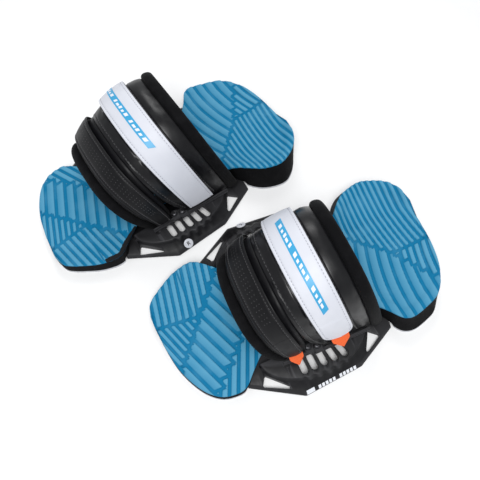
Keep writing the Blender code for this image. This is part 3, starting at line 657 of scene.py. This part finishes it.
def build_footbed(foot):
    """The ribbed blue foam, as one closed mesh whose ribs and black patches are also colour attributes. The ribs'
    attribute paints shade into the grooves and a highlight onto the rib tops.
    """
    rows = np.append(np.arange(DECK_HEEL, DECK_TOE, 0.85), DECK_TOE)
    columns = np.linspace(-1.0, 1.0, 181)
    forward, column = np.meshgrid(rows, columns, indexing="ij")
    out = deck_out(forward, column)
    edge = outline_distance(out, forward)
    ridge, patch = footbed_relief(foot, out, forward)
    cup = CUP_DEPTH * smooth_step((edge - 7.0) / 7.0) * smooth_step((-75.0 - forward) / 20.0)
    up = deck_height(out, forward) - cup - RIB_DEPTH * (1.0 - ridge) - rim_drop(edge)
    top = np.stack((out, forward, up), -1).reshape(-1, 3)
    few = np.linspace(-1.0, 1.0, 19)
    low_forward, low_column = np.meshgrid(rows, few, indexing="ij")
    low_out = deck_out(low_forward, low_column)
    under = np.stack((low_out, low_forward, deck_height(low_out, low_forward) - blue_depth(low_column)), -1)
    under = under.reshape(-1, 3)
    count, wide, narrow, base = len(rows), len(columns), len(few), len(top)
    faces = grid_faces(count, wide) + grid_faces(count, narrow, start=base, flip=True)
    for row in range(count - 1):
        here, below = row * wide, base + row * narrow
        faces.append([here, here + wide, below + narrow, below])
        here, below = here + wide - 1, below + narrow - 1
        faces.append([here + wide, here, below, below + narrow])
    for row in (0, count - 1):
        faces.append([row * wide + step for step in range(wide)]
                     + [base + row * narrow + step for step in reversed(range(narrow))])
    bed = foot.add("footbed", np.vstack((top, under)), faces, "blue_foam")
    for name, values in (("ridge", ridge), ("patch", patch.astype(float))):
        layer = bed.data.attributes.new(name, "FLOAT", "POINT")
        layer.data.foreach_set("value", np.concatenate((values.ravel(), np.zeros(len(under)))))


def in_polygon(corners, out, forward):
    """Which points are inside a polygon."""
    inside = np.zeros(out.shape, bool)
    for (x0, y0), (x1, y1) in zip(corners, corners[1:] + corners[:1]):
        if y0 != y1:
            crosses = (y0 > forward) != (y1 > forward)
            inside ^= crosses & (out < (x1 - x0) * (forward - y0) / (y1 - y0) + x0)
    return inside


def foam_flare(forward):
    """How far the foam's foot stands out past the deck: less beside the chassis."""
    heel = smooth_step((-72.0 - forward) / 24.0) * smooth_step((172.0 + forward) / 40.0)
    flare = 1.0 - FOAM_TUCK * smooth_step((82.0 - np.abs(forward)) / 12.0) + FOAM_FLARE * heel
    return flare - LIP_OUT * heel_lip(forward)


def blue_depth(column):
    """How thick the blue foam is: thinner at its edge."""
    return np.where(np.abs(column) > 0.99, BLUE_EDGE, BLUE_THICKNESS)


def build_midsole(foot):
    """Black foam with a sloping wall and a softened lower edge, and the thin skins under it."""
    step_at = CHASSIS_END + END_CLEARANCE - GAP
    steps = [end * step_at + beside for end in (-1, 1) for beside in (-0.1, 0.1)]
    few = np.linspace(-1.0, 1.0, 25)
    rings = []
    for forward in np.unique(np.concatenate((np.linspace(DECK_HEEL, DECK_TOE, 190), steps))):
        floor = PLATE_TOP + GAP if abs(forward) < step_at else SKIN_THICKNESS + GAP
        flare = foam_flare(forward)
        top = deck_out(forward, few)
        ring = list(zip(top, deck_height(top, forward) - (blue_depth(few) + BLUE_GAP)))
        for side in (1, -1):
            reach = side * deck_reach(forward, side)
            shoulder = deck_height(np.array(reach), forward) - BLUE_EDGE - BLUE_GAP
            wall = [(reach + side * flare * fall**1.15, shoulder + (floor + FOAM_SOFT - shoulder) * fall)
                    for fall in np.linspace(0.0, 1.0, 9)[1:]]
            wall += [(reach + side * (flare - FOAM_SOFT * 0.35), floor + FOAM_SOFT * 0.3),
                     (reach + side * (flare - FOAM_SOFT), floor)]
            ring += wall[::side]
        rings.append([(out, forward, up) for out, up in ring])
    foot.loft("midsole", rings, "black_foam")
    for name, near, far in (("toe", step_at + 0.5, 152.0), ("heel", -168.0, -step_at - 0.5)):
        rings = []
        for forward in np.linspace(near, far, 60):
            lateral, medial = (side * (deck_reach(forward, side) + foam_flare(forward) + 0.5) for side in (1, -1))
            rings.append([(out, forward, up) for out, up in (
                (medial + 0.3, 0.0), (lateral - 0.3, 0.0), (lateral, 0.3), (lateral, SKIN_THICKNESS - 0.2),
                (lateral - 0.3, SKIN_THICKNESS), (medial + 0.3, SKIN_THICKNESS), (medial, SKIN_THICKNESS - 0.2),
                (medial, 0.3))])
        foot.loft(f"{name}_base_skin", rings, "base_skin")


# ---------------------------------------------------------------- chassis

def chassis_half_width(forward):
    return np.interp(forward, *np.array(CHASSIS_CORNERS)[::-1].T)


def band_half_width(forward):
    """How far out the raised band's edge is."""
    share = (forward - BAND_CENTRE) / BAND_LENGTH_HALF
    return BAND_INNER + BAND_DEPTH * math.sqrt(max(0.0, 1.0 - share * share))


def scallop(forward):
    """The raised band's outer edge bulges outside each slot."""
    within = smooth_step((SLOT_FIRST + 7.0 - forward) / 5.0) * smooth_step((forward - SLOT_LAST + 7.0) / 5.0)
    return within * 1.1 * math.cos(2.0 * math.pi * (forward - SLOT_FIRST + 1.5) / SLOT_PITCH)


def chassis_section(forward):
    """Half a cross-section: a rolled outer lip, a sloping flange, the raised band and the middle plate."""
    edge = float(chassis_half_width(forward))
    plain = band_half_width(forward)
    raised = float(smooth_step((plain - BAND_INNER) / 8.0))
    band = plain + scallop(forward) - 0.6 * raised
    top = PLATE_TOP + (BAND_TOP - PLATE_TOP) * raised
    shoulder = PLATE_TOP + (BAND_EDGE_HEIGHT - PLATE_TOP) * raised
    lip = max(edge - LIP_RUN, band + 1.0)
    lip_height = PLATE_TOP - 0.2 if edge - LIP_RUN > band + 1.0 else PLATE_TOP + 2.0
    foot_of_band = max(band, BAND_INNER + 3.0)
    crest = max(band - 2.5, BAND_INNER + 2.0)
    return (
        (edge - 0.4, 0.0), (edge, 0.4), (edge, LIP_HEIGHT - 0.3), (edge - 0.35, LIP_HEIGHT + 0.3),
        (lip + 0.6, lip_height - 0.35), (lip - 0.3, lip_height), (foot_of_band + 0.4, shoulder - 0.5 * raised),
        (foot_of_band - 0.1, shoulder + 0.35 * raised), (crest + 0.7, top - 0.75 * raised),
        (crest + 0.1, top - 0.2 * raised), (crest - 0.7, top), (crest * 0.5 + BAND_INNER * 0.5, top),
        (BAND_INNER + 0.5, top), (BAND_INNER - 0.1, top - 0.25 * raised),
        (BAND_INNER - 1.2, PLATE_TOP + 0.4 * raised), (BAND_INNER - 2.0, PLATE_TOP),
    )


def prism(outline, low, high):
    """A closed prism over an outline of (out, forward) points."""
    loop = np.array(outline, float)
    rings = [np.column_stack((loop, np.full(len(loop), level))) for level in (low, high)]
    return np.vstack(rings), tube_faces(2, len(loop))


def stadium(out_low, out_high, forward, lean_degrees, width):
    """A slot's outline between two reaches: round at both ends, and leaning towards the heel."""
    lean = math.radians(lean_degrees)
    along = np.array((math.cos(lean), -math.sin(lean)))
    across = np.array((-along[1], along[0]))
    start = np.array((out_low + width / 2, forward))
    end = start + along * (out_high - out_low - width) / math.cos(lean)
    outline = []
    for centre, turn in ((end, -90.0), (start, 90.0)):
        for step in range(13):
            angle = math.radians(turn + 15.0 * step)
            outline.append(centre + (along * math.cos(angle) + across * math.sin(angle)) * width / 2)
    return outline


def round_outline(out, forward, radius, steps=32):
    turns = np.linspace(0.0, 2 * math.pi, steps, endpoint=False)
    return np.column_stack((out + radius * np.cos(turns), forward + radius * np.sin(turns)))


def rounded_triangle(corners, radius):
    """A triangle of (forward, out) corners, each rounded by an arc of this radius."""
    points = [np.array((corner[1], corner[0])) for corner in corners]
    outline = []
    for index, here in enumerate(points):
        before, after = points[index - 1], points[(index + 1) % 3]
        enter, leave = (before - here) / np.linalg.norm(before - here), (after - here) / np.linalg.norm(after - here)
        half = math.acos(np.clip(enter @ leave, -1.0, 1.0)) / 2
        middle = here + (enter + leave) / np.linalg.norm(enter + leave) * radius / math.sin(half)
        first = here + enter * radius / math.tan(half) - middle
        last = here + leave * radius / math.tan(half) - middle
        for share in np.linspace(0.0, 1.0, 7):
            spoke = first * (1 - share) + last * share
            outline.append(middle + spoke / np.linalg.norm(spoke) * radius)
    return outline


def build_chassis(foot):
    """The nylon plate, hollow under its slots, with windows, dimples and holes, and softened edges."""
    rings = []
    for forward in np.linspace(-CHASSIS_END, CHASSIS_END, 137):
        half = chassis_section(forward)
        mirrored = [(-out, up) for out, up in reversed(half)]
        rings.append([(out, forward, up) for out, up in [*half, *mirrored]])
    chassis = foot.loft("chassis", rings, "nylon")
    slots = [(SLOT_FIRST - SLOT_PITCH * index, SLOT_FAN_DEGREES * index * index) for index in range(SLOT_COUNT)]
    pocket = [(BAND_INNER + 4.0, SLOT_FIRST + 8.0), (SLOT_OUTER + 3.0, SLOT_FIRST + 5.0),
              (SLOT_OUTER + 3.0, SLOT_LAST - 10.0), (BAND_INNER + 4.0, SLOT_LAST - 8.0)]
    reliefs = [stadium(SLOT_INNER - 1.7, SLOT_OUTER + 1.7, *slot, SLOT_WIDTH + 2.4) for slot in slots]
    dimples = [round_outline(BAND_INNER + 12.5, forward, radius) for forward, radius in DIMPLES]
    through = [stadium(SLOT_INNER - 0.4, SLOT_OUTER + 0.4, *slot, SLOT_WIDTH + 0.6) for slot in slots]
    through += [rounded_triangle(corners, WINDOW_ROUND) for corners in LIGHTENING_HOLES]
    through += [round_outline(*foot.local(f"{label}_screw_lateral")[:2], SCREW_HOLE_RADIUS, 20)
                for label in ("front", "rear")]
    cut(foot, chassis, [pocket], -5.0, BAND_TOP - POCKET_ROOF)
    cut(foot, chassis, reliefs, BAND_TOP - RELIEF_DEPTH, 30.0)
    cut(foot, chassis, dimples, BAND_TOP - DIMPLE_DEPTH, 31.0)
    cut(foot, chassis, through, -6.0, 32.0)
    soften = chassis.modifiers.new("soft_edges", "BEVEL")
    soften.width = PLATE_BEVEL * MM
    soften.segments = 2
    soften.limit_method = "ANGLE"
    soften.angle_limit = math.radians(55.0)
    soften.use_clamp_overlap = True
    bake_modifiers(chassis)


def cut(foot, thing, outlines, low, high):
    """Takes prisms over (out, forward) outlines, and over their mirror images, out of a piece."""
    prisms = [prism(np.array(outline) * (mirror, 1.0), low, high) for outline in outlines for mirror in (1.0, -1.0)]
    points, faces = merged(prisms)
    cutter = stand("cutter", closed_mesh("cutter", foot.place(points), faces))
    modifier = thing.modifiers.new("opening", "BOOLEAN")
    modifier.operation = "DIFFERENCE"
    modifier.solver = "EXACT"
    modifier.object = cutter
    bake_modifiers(thing)
    bpy.data.objects.remove(cutter, do_unlink=True)


def bake_modifiers(thing):
    """Applies a piece's modifiers to its mesh."""
    whole = bpy.data.meshes.new_from_object(evaluated(thing))
    thing.modifiers.clear()
    thing.data = whole


# ---------------------------------------------------------------- straps and pads

def profile(width, low, high, corner, crown=0.0, grooves=(), columns=26):
    """A closed cross-section of (share across, lift): flat below, rounded at its edges, crowned and grooved above."""
    corner = min(corner, (high - low) / 2)
    bend = corner / width
    near, far = bend, 1.0 - bend
    beside = np.array((-1.4, -0.7, 0.0, 0.7, 1.4)) / width
    shares = np.concatenate((np.linspace(near, far, columns), *(groove + beside for groove in grooves)))
    shares = np.unique(np.clip(shares, near, far))

    def top(share):
        dips = sum(SEAM_DEPTH * np.exp(-(((share - groove) * width / SEAM_SPREAD) ** 2)) for groove in grooves)
        return high - crown * (2.0 * share - 1.0) ** 2 - dips

    turns = np.linspace(0.0, math.pi / 2, 5)
    sine, cosine, edge = np.sin(turns), np.cos(turns), top(near)
    return np.vstack([np.column_stack(stretch) for stretch in (
        (near - bend * sine, low + corner * (1.0 - cosine)),
        (near - bend * cosine, edge - corner * (1.0 - sine)),
        (shares[1:-1], top(shares[1:-1])),
        (far + bend * sine, edge - corner * (1.0 - cosine)),
        (far + bend * cosine, low + corner * (1.0 - sine)),
        (np.linspace(far, near, 12)[1:-1], np.full(10, low)),
    )])


def arch_band(foot, piece, band, runs, section, finish, tail=None, **facts):
    """A band along the arch, with one ring for each run. A tail narrows to its round tip and thins at its hinge."""
    narrow = np.ones_like(runs)
    if tail:
        turns = np.linspace(0.08, math.pi / 2, 14)
        tip = runs[0] + tail.rounding * (1.0 - np.cos(turns))
        rest = runs[runs > tip[-1] + 0.003]
        narrow = np.concatenate((np.sin(turns) ** 0.95, np.ones(len(rest))))
        runs = np.concatenate((tip, rest))
    thin = np.ones_like(runs)
    thin[-1] -= tail.fold if tail else 0.0
    runs, narrow, thin = runs[:, None], narrow[:, None], thin[:, None]
    width = in_band(band, 0.5 + (section[:, 0] - 0.5) * narrow, runs)
    low = section[:, 1].min()
    points = foot.arch(width, runs, low + (section[:, 1] - low) * thin)
    uv = np.stack((width * ARCH_SPAN, runs * foot.arch_length + 0 * width), -1)
    return foot.loft(piece, points, finish, uv=uv, **facts)


def even(low, high, step):
    """Even steps from low to high, of about this size."""
    return np.linspace(low, high, max(2, int(math.ceil((high - low) / step)) + 1))


def capsules(foot, piece, lines, length, radius, finish, **facts):
    """Many small threads on lines of stitches: each lies along its own direction, half sunk in the surface."""
    centres, alongs, ups = (np.vstack(parts)[:, None, None] for parts in zip(*lines))
    stations = np.array(((-0.5, 0.25), (-0.36, 0.85), (0.0, 1.0), (0.36, 0.85), (0.5, 0.25)))
    place, share = stations.T[:, :, None, None]
    turns = np.linspace(0.0, 2 * math.pi, 6, endpoint=False)[:, None]
    around = (ups * np.sin(turns) * 0.8 + np.cross(alongs, ups) * np.cos(turns)) * radius
    points = centres + alongs * place * length + around * share
    one = tube_faces(len(stations), len(turns))
    return foot.add(piece, *merged((block.reshape(-1, 3), one) for block in points), finish, **facts)


def stitches(foot, width, run, lift, along):
    """Centres, directions and normals of stitches on the arch."""
    here = foot.arch(width, run, lift)
    return here, along / np.linalg.norm(along, axis=1, keepdims=True), foot.arch(width, run, lift + 1.0) - here


def stitch_line(foot, band, share, runs, lift, pitch=3.1):
    """Stitches along the arch, at a share of a band's width."""
    run = np.linspace(*runs, max(2, int((runs[1] - runs[0]) * foot.arch_length / pitch)))
    width = in_band(band, share, run)
    along = foot.arch(width, run + 0.003, lift) - foot.arch(width, run - 0.003, lift)
    return stitches(foot, width, run, lift, along)


def tip_stitches(foot, band, tail, lift, inset=2.6):
    """Stitches that follow a tail's rounded end."""
    turns = np.linspace(0.35, math.pi - 0.35, 11)
    reach = 0.86 * tail.rounding
    margin = inset / foot.arch_length
    run = tail.tip + reach + 0.4 * margin - (reach - margin) * np.sin(turns)
    side = np.cos(turns)
    width = in_band(band, 0.5 + (0.5 - inset / band_width(band)) * np.sign(side) * np.abs(side) ** 0.95, run)
    return stitches(foot, width, run, lift, np.gradient(foot.arch(width, run, lift), axis=0))


def end_stitches(foot, band, run, seams, lift):
    """A row of stitches straight across the strap near its end."""
    share = np.linspace(seams[0] + 0.06, seams[1] - 0.06, max(3, int(band_width(band) / 3.4)))
    width = in_band(band, share, run)
    along = foot.arch(width + 0.004, run, lift) - foot.arch(width, run, lift)
    return stitches(foot, width, run, lift, along)


def build_hems(foot):
    """The rolled neoprene edges at the toe and heel sides of the arch."""
    turns = np.linspace(0.0, 2 * math.pi, 28, endpoint=False)
    side, rise = (np.sign(wave) * np.abs(wave) ** 0.86 for wave in (np.cos(turns), np.sin(turns)))
    for name, band, low, high in (("toe_hem", TOE_HEM, -6.0, 2.6), ("heel_hem", HEEL_HEM, -6.5, 4.0)):
        section = np.column_stack((0.5 + 0.5 * side, (low + high) / 2 + (high - low) / 2 * rise))
        hem = arch_band(foot, name, band, np.linspace(0.0, 1.0, 150), section, "neoprene")


def build_pads(foot):
    """The two padded panels between the hems, with a cloth lining inside and stitched seams."""
    runs = np.linspace(0.0, 1.0, 120)
    for name, band, finish, seams, strap in (
        ("toe_bolster", TOE_BOLSTER, "soft_black", (0.16,), TOE_STRAP),
        ("instep_pad", INSTEP_PAD, "smooth_black", (0.075, 0.22, 0.72), INSTEP_STRAP),
    ):
        width = band_width(band)
        section = profile(width, -PAD_THICKNESS, -0.4, 2.2, grooves=seams, columns=40)
        pad = arch_band(foot, name, band, runs, section, finish)
        pad.data.materials.append(FINISHES["lining"])
        share, lift = section.T
        inner = lift < -PAD_THICKNESS + 0.3
        for polygon in pad.data.polygons:
            polygon.material_index = int(all(inner[corner % len(section)] for corner in polygon.vertices))
        across = in_band(band, share, runs[:, None])
        under_strap = (across > strap[0][0] - 0.012) & (across < strap[0][1] + 0.012)
        at_seam = np.min([np.abs(share - seam) * width for seam in seams], axis=0) < 1.3
        held = under_strap | at_seam | (lift < -1.2) | (np.abs(runs - 0.5) > 0.47)[:, None]
        swell(pad, held.ravel(), len(runs))
        lines = [stitch_line(foot, band, seam, (0.04, 0.96), -0.65, pitch=4.4) for seam in seams]
        capsules(foot, f"{name}_seams", lines, *SEAM_THREAD, "black_thread")


def swell(pad, held, rings):
    """Cloth pressure fills a pad's free panels between its seams; held points stay where they are."""
    mesh = pad.data
    start = np.empty(len(mesh.vertices) * 3)
    end = np.empty_like(start)
    mesh.vertices.foreach_get("co", start)
    pad.vertex_groups.new(name="held").add(np.flatnonzero(held).tolist(), 1.0, "REPLACE")
    cloth = pad.modifiers.new("swell", "CLOTH")
    for setting, value in CLOTH.items():
        setattr(cloth.settings, setting, value)
    cloth.settings.vertex_group_mass = "held"
    cloth.settings.effector_weights.gravity = 0.0
    cloth.collision_settings.use_collision = False
    cloth.point_cache.frame_start, cloth.point_cache.frame_end = 1, CLOTH_FRAMES
    for step in range(1, CLOTH_FRAMES + 1):
        bpy.context.scene.frame_set(step)
    shown = pad.evaluated_get(bpy.context.evaluated_depsgraph_get()).to_mesh()
    shown.vertices.foreach_get("co", end)
    pad.modifiers.remove(cloth)
    pad.vertex_groups.clear()
    bpy.context.scene.frame_set(1)
    moved = (end - start).reshape(rings, -1, 3)
    for _ in range(CLOTH_SMOOTHING):
        moved[1:-1] = moved[1:-1] / 2 + (moved[:-2] + moved[2:]) / 4
        moved = moved / 2 + (np.roll(moved, 1, axis=1) + np.roll(moved, -1, axis=1)) / 4
    moved = moved.reshape(-1, 3)
    moved[held] = 0.0
    reach = np.linalg.norm(moved, axis=1, keepdims=True)
    moved *= np.minimum(1.0, CLOTH_REACH * MM / np.maximum(reach, 1e-9))
    mesh.vertices.foreach_set("co", start + moved.ravel())
    mesh.update()


def build_straps(foot):
    """Each strap on its backing, its loose tail and tab, and their stitches."""
    for name, band, finish, seam_thread in (
        ("toe", TOE_STRAP, "strap_black", "black_thread"),
        ("instep", INSTEP_STRAP, "strap_white", "grey_thread"),
    ):
        tail, width = TAILS[name], band_width(band)
        backing = (band[0][0] + BACKING_INSET, band[0][1] - BACKING_INSET), band[1]
        section = profile(band_width(backing), GAP, GAP + BACKING_THICKNESS, 0.7)
        arch_band(foot, f"{name}_strap_backing", backing, even(BACKING_START, STRAP_MEDIAL_END, 0.008), section, "pile")
        seams = (SEAM_INSET / width, 1.0 - SEAM_INSET / width)
        section = profile(width, STRAP_LIFT, STRAP_TOP, 0.95, crown=0.30, grooves=seams, columns=30)
        arch_band(foot, f"{name}_strap", band, even(tail.hinge + 0.0004, STRAP_MEDIAL_END, 0.007), section, finish)
        arch_band(foot, f"{name}_strap_tail", band, even(tail.tip, tail.hinge - tail.gap, 0.007), section, finish,
                  tail=tail, body=f"{name}_tail")
        fixed_run = (tail.hinge + 0.006, STRAP_MEDIAL_END - 0.006)
        loose_run = (tail.tip + tail.rounding * 0.8, tail.hinge - 0.010)
        fixed, loose = ([stitch_line(foot, band, seam, run, STRAP_TOP - 0.45) for seam in seams]
                        for run in (fixed_run, loose_run))
        fixed.append(end_stitches(foot, band, STRAP_MEDIAL_END - 0.007, seams, STRAP_TOP - 0.3))
        loose.append(tip_stitches(foot, band, tail, STRAP_TOP - 0.35))
        capsules(foot, f"{name}_strap_stitches", fixed, *STRAP_THREAD, seam_thread)
        capsules(foot, f"{name}_tail_stitches", loose, *STRAP_THREAD, seam_thread, body=f"{name}_tail")
        build_tab(foot, name, band, tail.tip)


def build_tab(foot, name, band, tip):
    """An arrow-shaped webbing tab from under the tail's tip, bent outwards over the chassis, with a middle crease."""
    near, far = in_band(band, np.array((0.0, 1.0)), tip)
    middle, half = (near + far) / 2, (far - near) / 2 * ARCH_SPAN
    tucked = foot.arch(middle, tip + TAB_TUCK, TAB_LIFT)
    bend = foot.arch(middle, tip - 0.006, TAB_LIFT)
    wide = TAB_SHARE[name]
    stations = [(tucked, wide), (bend, wide)]
    for share in np.linspace(0.15, 1.0, 9):
        drop = np.array((TAB_LENGTH * share, 0.0, -6.8 * share + 1.2 * share * share))
        stations.append((bend + drop, wide if share < 0.42 else wide * (1.0 - share) / 0.58 + 0.02))
    across = np.linspace(-1.0, 1.0, 9)
    crease = np.exp(-((across / 0.10) ** 2)) * 0.25
    rings, uv = [], []
    for index, (centre, share) in enumerate(stations):
        lower = [centre + (0.0, half * share * place, -0.5 * abs(place)) for place in across]
        upper = [point + np.array((0.8, 0.0, 0.6)) * (1.0 - dip) for point, dip in zip(lower, crease)]
        rings.append(lower + upper[::-1])
        uv += [(half * share * place, index * 1.6) for place in across] * 2
    foot.loft(f"{name}_pull_tab", rings, "orange_webbing", body=f"{name}_tail", uv=uv)


def build_perforations(foot):
    """Rows of pin holes along the toe strap, drawn as small raised dots lighter than the strap: a painted highlight
    where light catches the holes.
    """
    lines = [stitch_line(foot, TOE_STRAP, share, (0.36, 0.84), STRAP_TOP - 0.02, pitch=4.6)
             for share in (0.38, 0.50, 0.62)]
    # painted highlight: the pin holes' dots are lighter than the black strap, standing for light caught at the holes
    capsules(foot, "toe_strap_pin_holes", lines, *PIN_HOLE, "black_thread")


def label_sheet(foot, shares, runs, height):
    """A slanted sheet on the instep strap, between two shares of the label's width and two runs along the arch."""
    across = np.linspace(*shares, 5)
    width = LABEL_WIDTHS[0] + across * (LABEL_WIDTHS[1] - LABEL_WIDTHS[0])
    rings = []
    for run in np.linspace(*runs, max(2, int((runs[1] - runs[0]) / LABEL_STEP))):
        slanted = run + LABEL_SLANT * (across - 0.5)
        rings += [foot.arch(width, slanted, STRAP_TOP - 0.15), foot.arch(width, slanted, STRAP_TOP + height)[::-1]]
    return np.vstack(rings), tube_faces(len(rings) // 2, 2 * len(across))


def build_label(foot):
    """A printed film along the instep strap, with slanted ends and plain marks in three groups."""
    foot.add("instep_label", *label_sheet(foot, (0.0, 1.0), LABEL_RUN, 0.35), "blue_print")
    first, last = LABEL_RUN
    marks = []
    for index in range(LABEL_MARKS):
        if index not in (4, 10):
            start = first + (last - first) * (0.06 + 0.88 * index / LABEL_MARKS)
            end = start + (last - first) * (0.030 if index % 3 else 0.042)
            marks.append(label_sheet(foot, (0.25, 0.75 if index % 2 else 0.60), (start, end), 0.45))
    foot.add("instep_label_marks", *merged(marks), "white_print")


# ---------------------------------------------------------------- fittings

def build_screws(foot):
    """Dome heads with a hexagonal socket."""
    dome_end = 1.05
    for label, where in SCREW_PLACES:
        piece = f"{label}_screw_{where}"
        low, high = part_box(f"{foot.name}_{piece}")
        base, head = low[2] / MM, high[2] / MM - SCREW_HEAD
        spokes = [(2.0, base), (2.0, head), (SCREW_RADIUS - 0.2, head), (SCREW_RADIUS, head + 0.25)]
        spokes += [(SCREW_RADIUS * math.cos(turn), head + SCREW_HEAD * math.sin(turn))
                   for turn in np.linspace(0.2, dome_end, 7)]
        spokes += [(hexagon(24), head + SCREW_HEAD * math.sin(dome_end) - depth) for depth in (0.0, 1.4)]
        rings = [np.column_stack((round_outline(*foot.local(piece)[:2], radius, 24), np.full(24, up)))
                 for radius, up in spokes]
        foot.loft(piece, rings, "black_steel")


def hexagon(steps):
    """How far a hexagonal socket's wall is from its middle, all the way round."""
    sixth = math.pi / 3
    turns = np.linspace(0.0, 2 * math.pi, steps, endpoint=False)
    return 1.45 / np.cos((turns + sixth / 2) % sixth - sixth / 2)


def build_badge(foot):
    """The round side mark on the medial flange, with the foot's letter."""
    top = np.array((band_half_width(BADGE_FORWARD), BAND_EDGE_HEIGHT))
    bottom = np.array((chassis_half_width(BADGE_FORWARD), LIP_HEIGHT))
    down = (bottom - top) / np.linalg.norm(bottom - top)
    normal = np.array((-down[1], down[0]))
    centre = (top + bottom) / 2 + (0.3, 0.0)

    def on_flange(lower, forward, rise):
        """Points of the flange's plane, from how far they are below the badge's middle and above the flange."""
        spots = centre + down * np.reshape(lower, (-1, 1)) + normal * np.reshape(rise, (-1, 1))
        return np.column_stack((-spots[:, 0], BADGE_FORWARD + forward, spots[:, 1]))

    turns = np.linspace(0.0, 2 * math.pi, 48, endpoint=False)
    steps = ((5.4, 1.3), (5.6, 1.5), (5.6, 2.2), (5.35, 2.5), (4.7, 2.6), (4.55, 2.4), (0.4, 2.4))
    rings = [on_flange(radius * np.cos(turns), radius * np.sin(turns), rise) for radius, rise in steps]
    foot.loft("side_badge", rings, "badge")
    curve = bpy.data.curves.new("letter", "FONT")
    curve.body = foot.name[0].upper()
    curve.align_x, curve.align_y = "CENTER", "CENTER"
    curve.size = 6.5
    curve.extrude = curve.offset = 0.12
    text = stand("letter", curve)
    flat = bpy.data.meshes.new_from_object(evaluated(text))
    bpy.data.objects.remove(text, do_unlink=True)
    across, along, rise = np.array([vertex.co for vertex in flat.vertices]).T
    faces = [list(polygon.vertices) for polygon in flat.polygons]
    foot.add("side_badge_letter", on_flange(-along, -across * foot.side, 2.42 + rise), faces, "nylon")


def build_flange_marks(foot):
    """Plain printed bars along the lateral flange's edge."""
    spans = [(31.6, 22.2, 4.7)]
    spans += [(start, start - 3.0, 4.0) for start in (17.5, 13.2, 8.9, 4.6, 0.3, -8.0, -12.3, -16.6, -20.9, -25.2)]
    bars = []
    for start, end, tall in spans:
        points = []
        for forward in np.linspace(start, end, 5):
            edge, band = chassis_half_width(forward), band_half_width(forward)
            steep = edge - LIP_RUN <= band + 1.0
            high = np.array((max(edge - LIP_RUN, band + 1.0), PLATE_TOP + 2.0 if steep else PLATE_TOP - 0.2))
            low = np.array((edge, LIP_HEIGHT))
            down = (low - high) / np.linalg.norm(low - high)
            normal = np.array((-down[1], down[0]))
            for place, rise in ((1.0, 0.02), (0.0, 0.02), (0.0, 0.14), (1.0, 0.14)):
                out, up = low - down * (0.5 + place * tall) + normal * rise
                points.append((out, forward, up))
        bars.append((points, tube_faces(5, 4)))
    foot.add("flange_marks", *merged(bars), "white_print", slot="badge")


def dress_anchors(foot):
    """The strap ends' plates are shown as the CAD model has them, in their own finish."""
    for label, where in SCREW_PLACES:
        for entry in frame["nodes"][f"{foot.name}_{label}_anchor_{where}"].material_slots:
            entry.material = FINISHES["strap_plate"]


def build_foot(foot):
    for build in (build_footbed, build_midsole, build_chassis, build_hems, build_pads, build_straps, build_perforations,
                  build_label, build_screws, build_badge, build_flange_marks, dress_anchors):
        build(foot)


# ---------------------------------------------------------------- studio

def area_light(name, place, size, power):
    """A round light that shines at the middle of the pair."""
    light = bpy.data.lights.new(name, "AREA")
    light.shape = "DISK"
    light.size = size
    light.energy = power
    lamp = stand(name, light)
    lamp.location = place
    lamp.rotation_euler = (-Vector(place)).to_track_quat("-Z", "Y").to_euler()


def build_studio():
    """A white floor, a soft sky and three round lights."""
    mesh = bpy.data.meshes.new("floor")
    mesh.from_pydata([(-9, -9, -0.0006), (9, -9, -0.0006), (9, 9, -0.0006), (-9, 9, -0.0006)], [], [(0, 1, 2, 3)])
    mesh.materials.append(FINISHES["floor"])
    stand("floor", mesh)
    world = bpy.data.worlds.new("studio")
    world.use_nodes = True
    background = world.node_tree.nodes["Background"]
    background.inputs["Color"].default_value = (0.95, 0.97, 1.0, 1.0)
    background.inputs["Strength"].default_value = 0.50
    bpy.context.scene.world = world
    area_light("key", (-0.75, 0.55, 1.55), 0.9, 15.0)
    area_light("front", (-0.45, 0.10, 1.5), 0.7, 8.5)
    area_light("back", (1.1, -0.5, 1.2), 0.8, 7.0)
    bpy.context.scene.view_settings.view_transform = "Standard"


def build_camera():
    azimuth, elevation = math.radians(CAMERA_AZIMUTH), math.radians(CAMERA_ELEVATION)
    ahead = Vector((-math.sin(azimuth) * math.cos(elevation), math.cos(azimuth) * math.cos(elevation),
                    -math.sin(elevation)))
    camera = bpy.data.cameras.new("camera")
    camera.lens = CAMERA_LENS
    camera.sensor_width = 36.0
    camera.clip_start = 0.01
    holder = stand("camera", camera)
    holder.location = Vector(CAMERA_TARGET) - ahead * CAMERA_DISTANCE
    holder.rotation_euler = ahead.to_track_quat("-Z", "Y").to_euler()
    bpy.context.scene.camera = holder


build_studio()
build_camera()
for foot_name in ("left", "right"):
    build_foot(Foot(foot_name))
